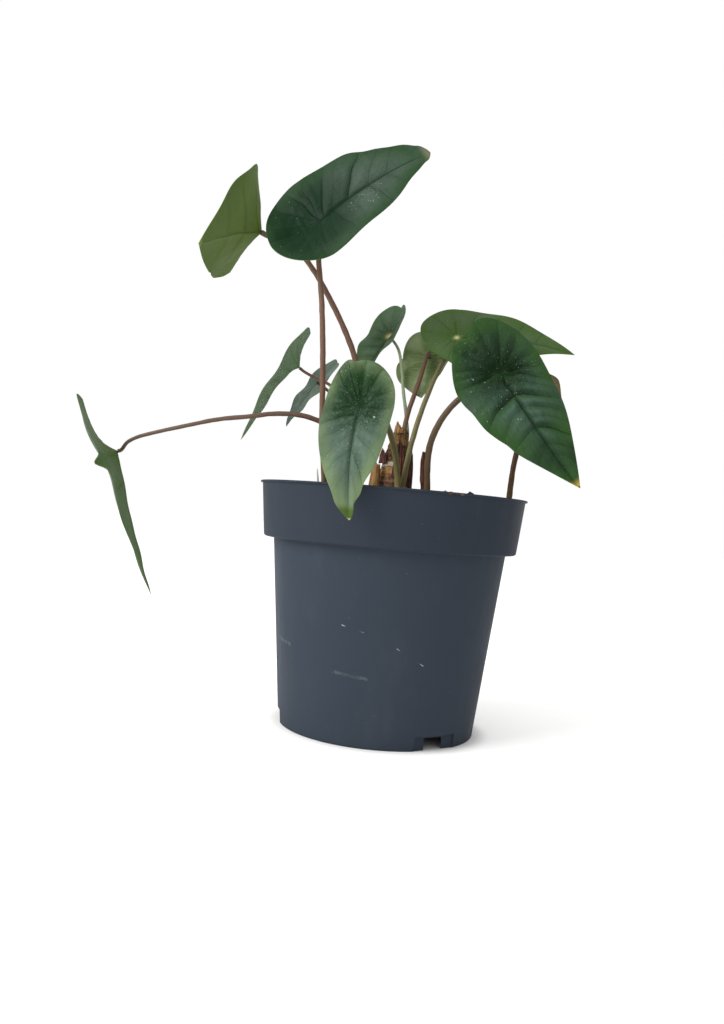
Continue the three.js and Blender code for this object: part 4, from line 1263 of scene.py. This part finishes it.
def build_leaves():
    skins = {name: leaf_paint(f"leaf_{name}", tones_of(codes, others), **settings)
             for name, (codes, others, settings) in SKINS.items()}
    unders = {name: leaf_paint(f"under_{name}", tones_of(codes), roughness, False, lines, ripples)
              for name, (codes, roughness, lines, ripples) in UNDERS.items()}
    stalk_skins = {name: stalk_paint(f"stalk_{name}", *codes.split()) for name, codes in STALKS.items()}
    water = Paint("water")
    # The drops' pale opaque tone is painted: it stands in for the light that clear water catches.
    water_tone = water.mix(water.noise(300), "#536d59", "#8fa394")
    water.set(base_color=water_tone, roughness=0.1, specular_ior_level=0.6)
    for number, (name, entry) in enumerate(LEAVES.items()):
        leaf = SimpleNamespace(**{**USUAL_LEAF, **entry}, seed=FIRST_LEAF_SEED + number)
        build_blade(name, leaf, skins, unders, water.material)
        build_stalk(name, leaf, stalk_skins)


def build_dry_parts():
    materials = {
        "stump": dry_paint("stump_tan", "#9c7a4c", "#7a5834", scale=500, depth=0.0003),
        "husk": dry_paint("husk_tan", "#a78153", "#5f3e21"),
        "dark_husk": dry_paint("husk_dark", "#63392a", "#25120f"),
        "pale_stalk": stalk_paint("root_pale", "#7f7868", "#a39c8d", "#c4bfb3", "#60594a"),
    }
    for number, (name, scale) in enumerate(SCALES.items()):
        build_scale(name, FIRST_SCALE_SEED + number, materials, **scale)
    for name, rod in RODS.items():
        build_rod(name, materials, **rod)


# Stage
FLOOR_HALF = 6000
FLOOR_LEVEL = -0.1
FLOOR_GLOW = 0.3
GLOW_START = 1.2
# The surroundings are dimmer on the right: from which to which share of +X, and how strong they are there.
DIM_SIDE = (0.45, 0.85)
DIM_STRENGTH = 0.3
KEY_PLACE = (-1100, -700, 900)
KEY_POWER = 20
KEY_SIZE = 900
KEY_AIM = (0, 0, 180)


def build_floor():
    paint = Paint("floor_paper")
    paint.set(base_color=paint.mix(paint.noise(60, 3, 0.6), "#ededeb", "#f4f4f2"), roughness=0.9)
    away = paint.vector("LENGTH", paint.place)
    glow = paint.remap(away, FOOT_RADIUS * MM, GLOW_START * FOOT_RADIUS * MM, 0, FLOOR_GLOW)
    paint.set(emission_color=(1, 1, 1, 1), emission_strength=glow)
    corners = [(x * FLOOR_HALF, y * FLOOR_HALF, FLOOR_LEVEL) for x, y in ((-1, -1), (1, -1), (1, 1), (-1, 1))]
    floor = make("floor", corners, [(0, 1, 2, 3)], [paint.material])


def build_lights():
    world = bpy.data.worlds.new("studio")
    world.use_nodes = True
    nodes = Nodes(world.node_tree)
    backdrop = world.node_tree.nodes["Background"].inputs
    side = nodes.part(nodes.node("ShaderNodeTexCoord").outputs["Generated"], "X")
    nodes.put(backdrop["Color"], (1, 1, 1, 1))
    nodes.put(backdrop["Strength"], nodes.remap(side, *DIM_SIDE, 1.0, DIM_STRENGTH))
    bpy.context.scene.world = world
    bpy.context.scene.view_settings.view_transform = "Standard"

    light = bpy.data.lights.new("key", "AREA")
    light.energy = KEY_POWER
    light.size = KEY_SIZE * MM
    lamp = bpy.data.objects.new("key", light)
    lamp.location = Vector(KEY_PLACE) * MM
    aim = Vector(KEY_AIM) * MM - lamp.location
    lamp.rotation_euler = aim.to_track_quat("-Z", "Y").to_euler()
    bpy.context.collection.objects.link(lamp)


def build_camera():
    camera = bpy.data.objects.new("camera", bpy.data.cameras.new("camera"))
    camera.data.lens = CAMERA_LENS
    camera.data.sensor_width = CAMERA_SENSOR
    bpy.context.collection.objects.link(camera)
    turn = Matrix.Rotation(math.radians(CAMERA_YAW), 4, "Z") @ Matrix.Rotation(math.radians(90), 4, "X")
    turn = turn @ Matrix.Rotation(math.radians(CAMERA_ROLL), 4, "Z")
    camera.matrix_world = Matrix.Translation(Vector(CAMERA_PLACE) * MM) @ turn
    bpy.context.scene.camera = camera


build_pot()
build_soil()
build_trunk()
build_dry_parts()
build_leaves()
build_floor()
build_lights()
build_camera()
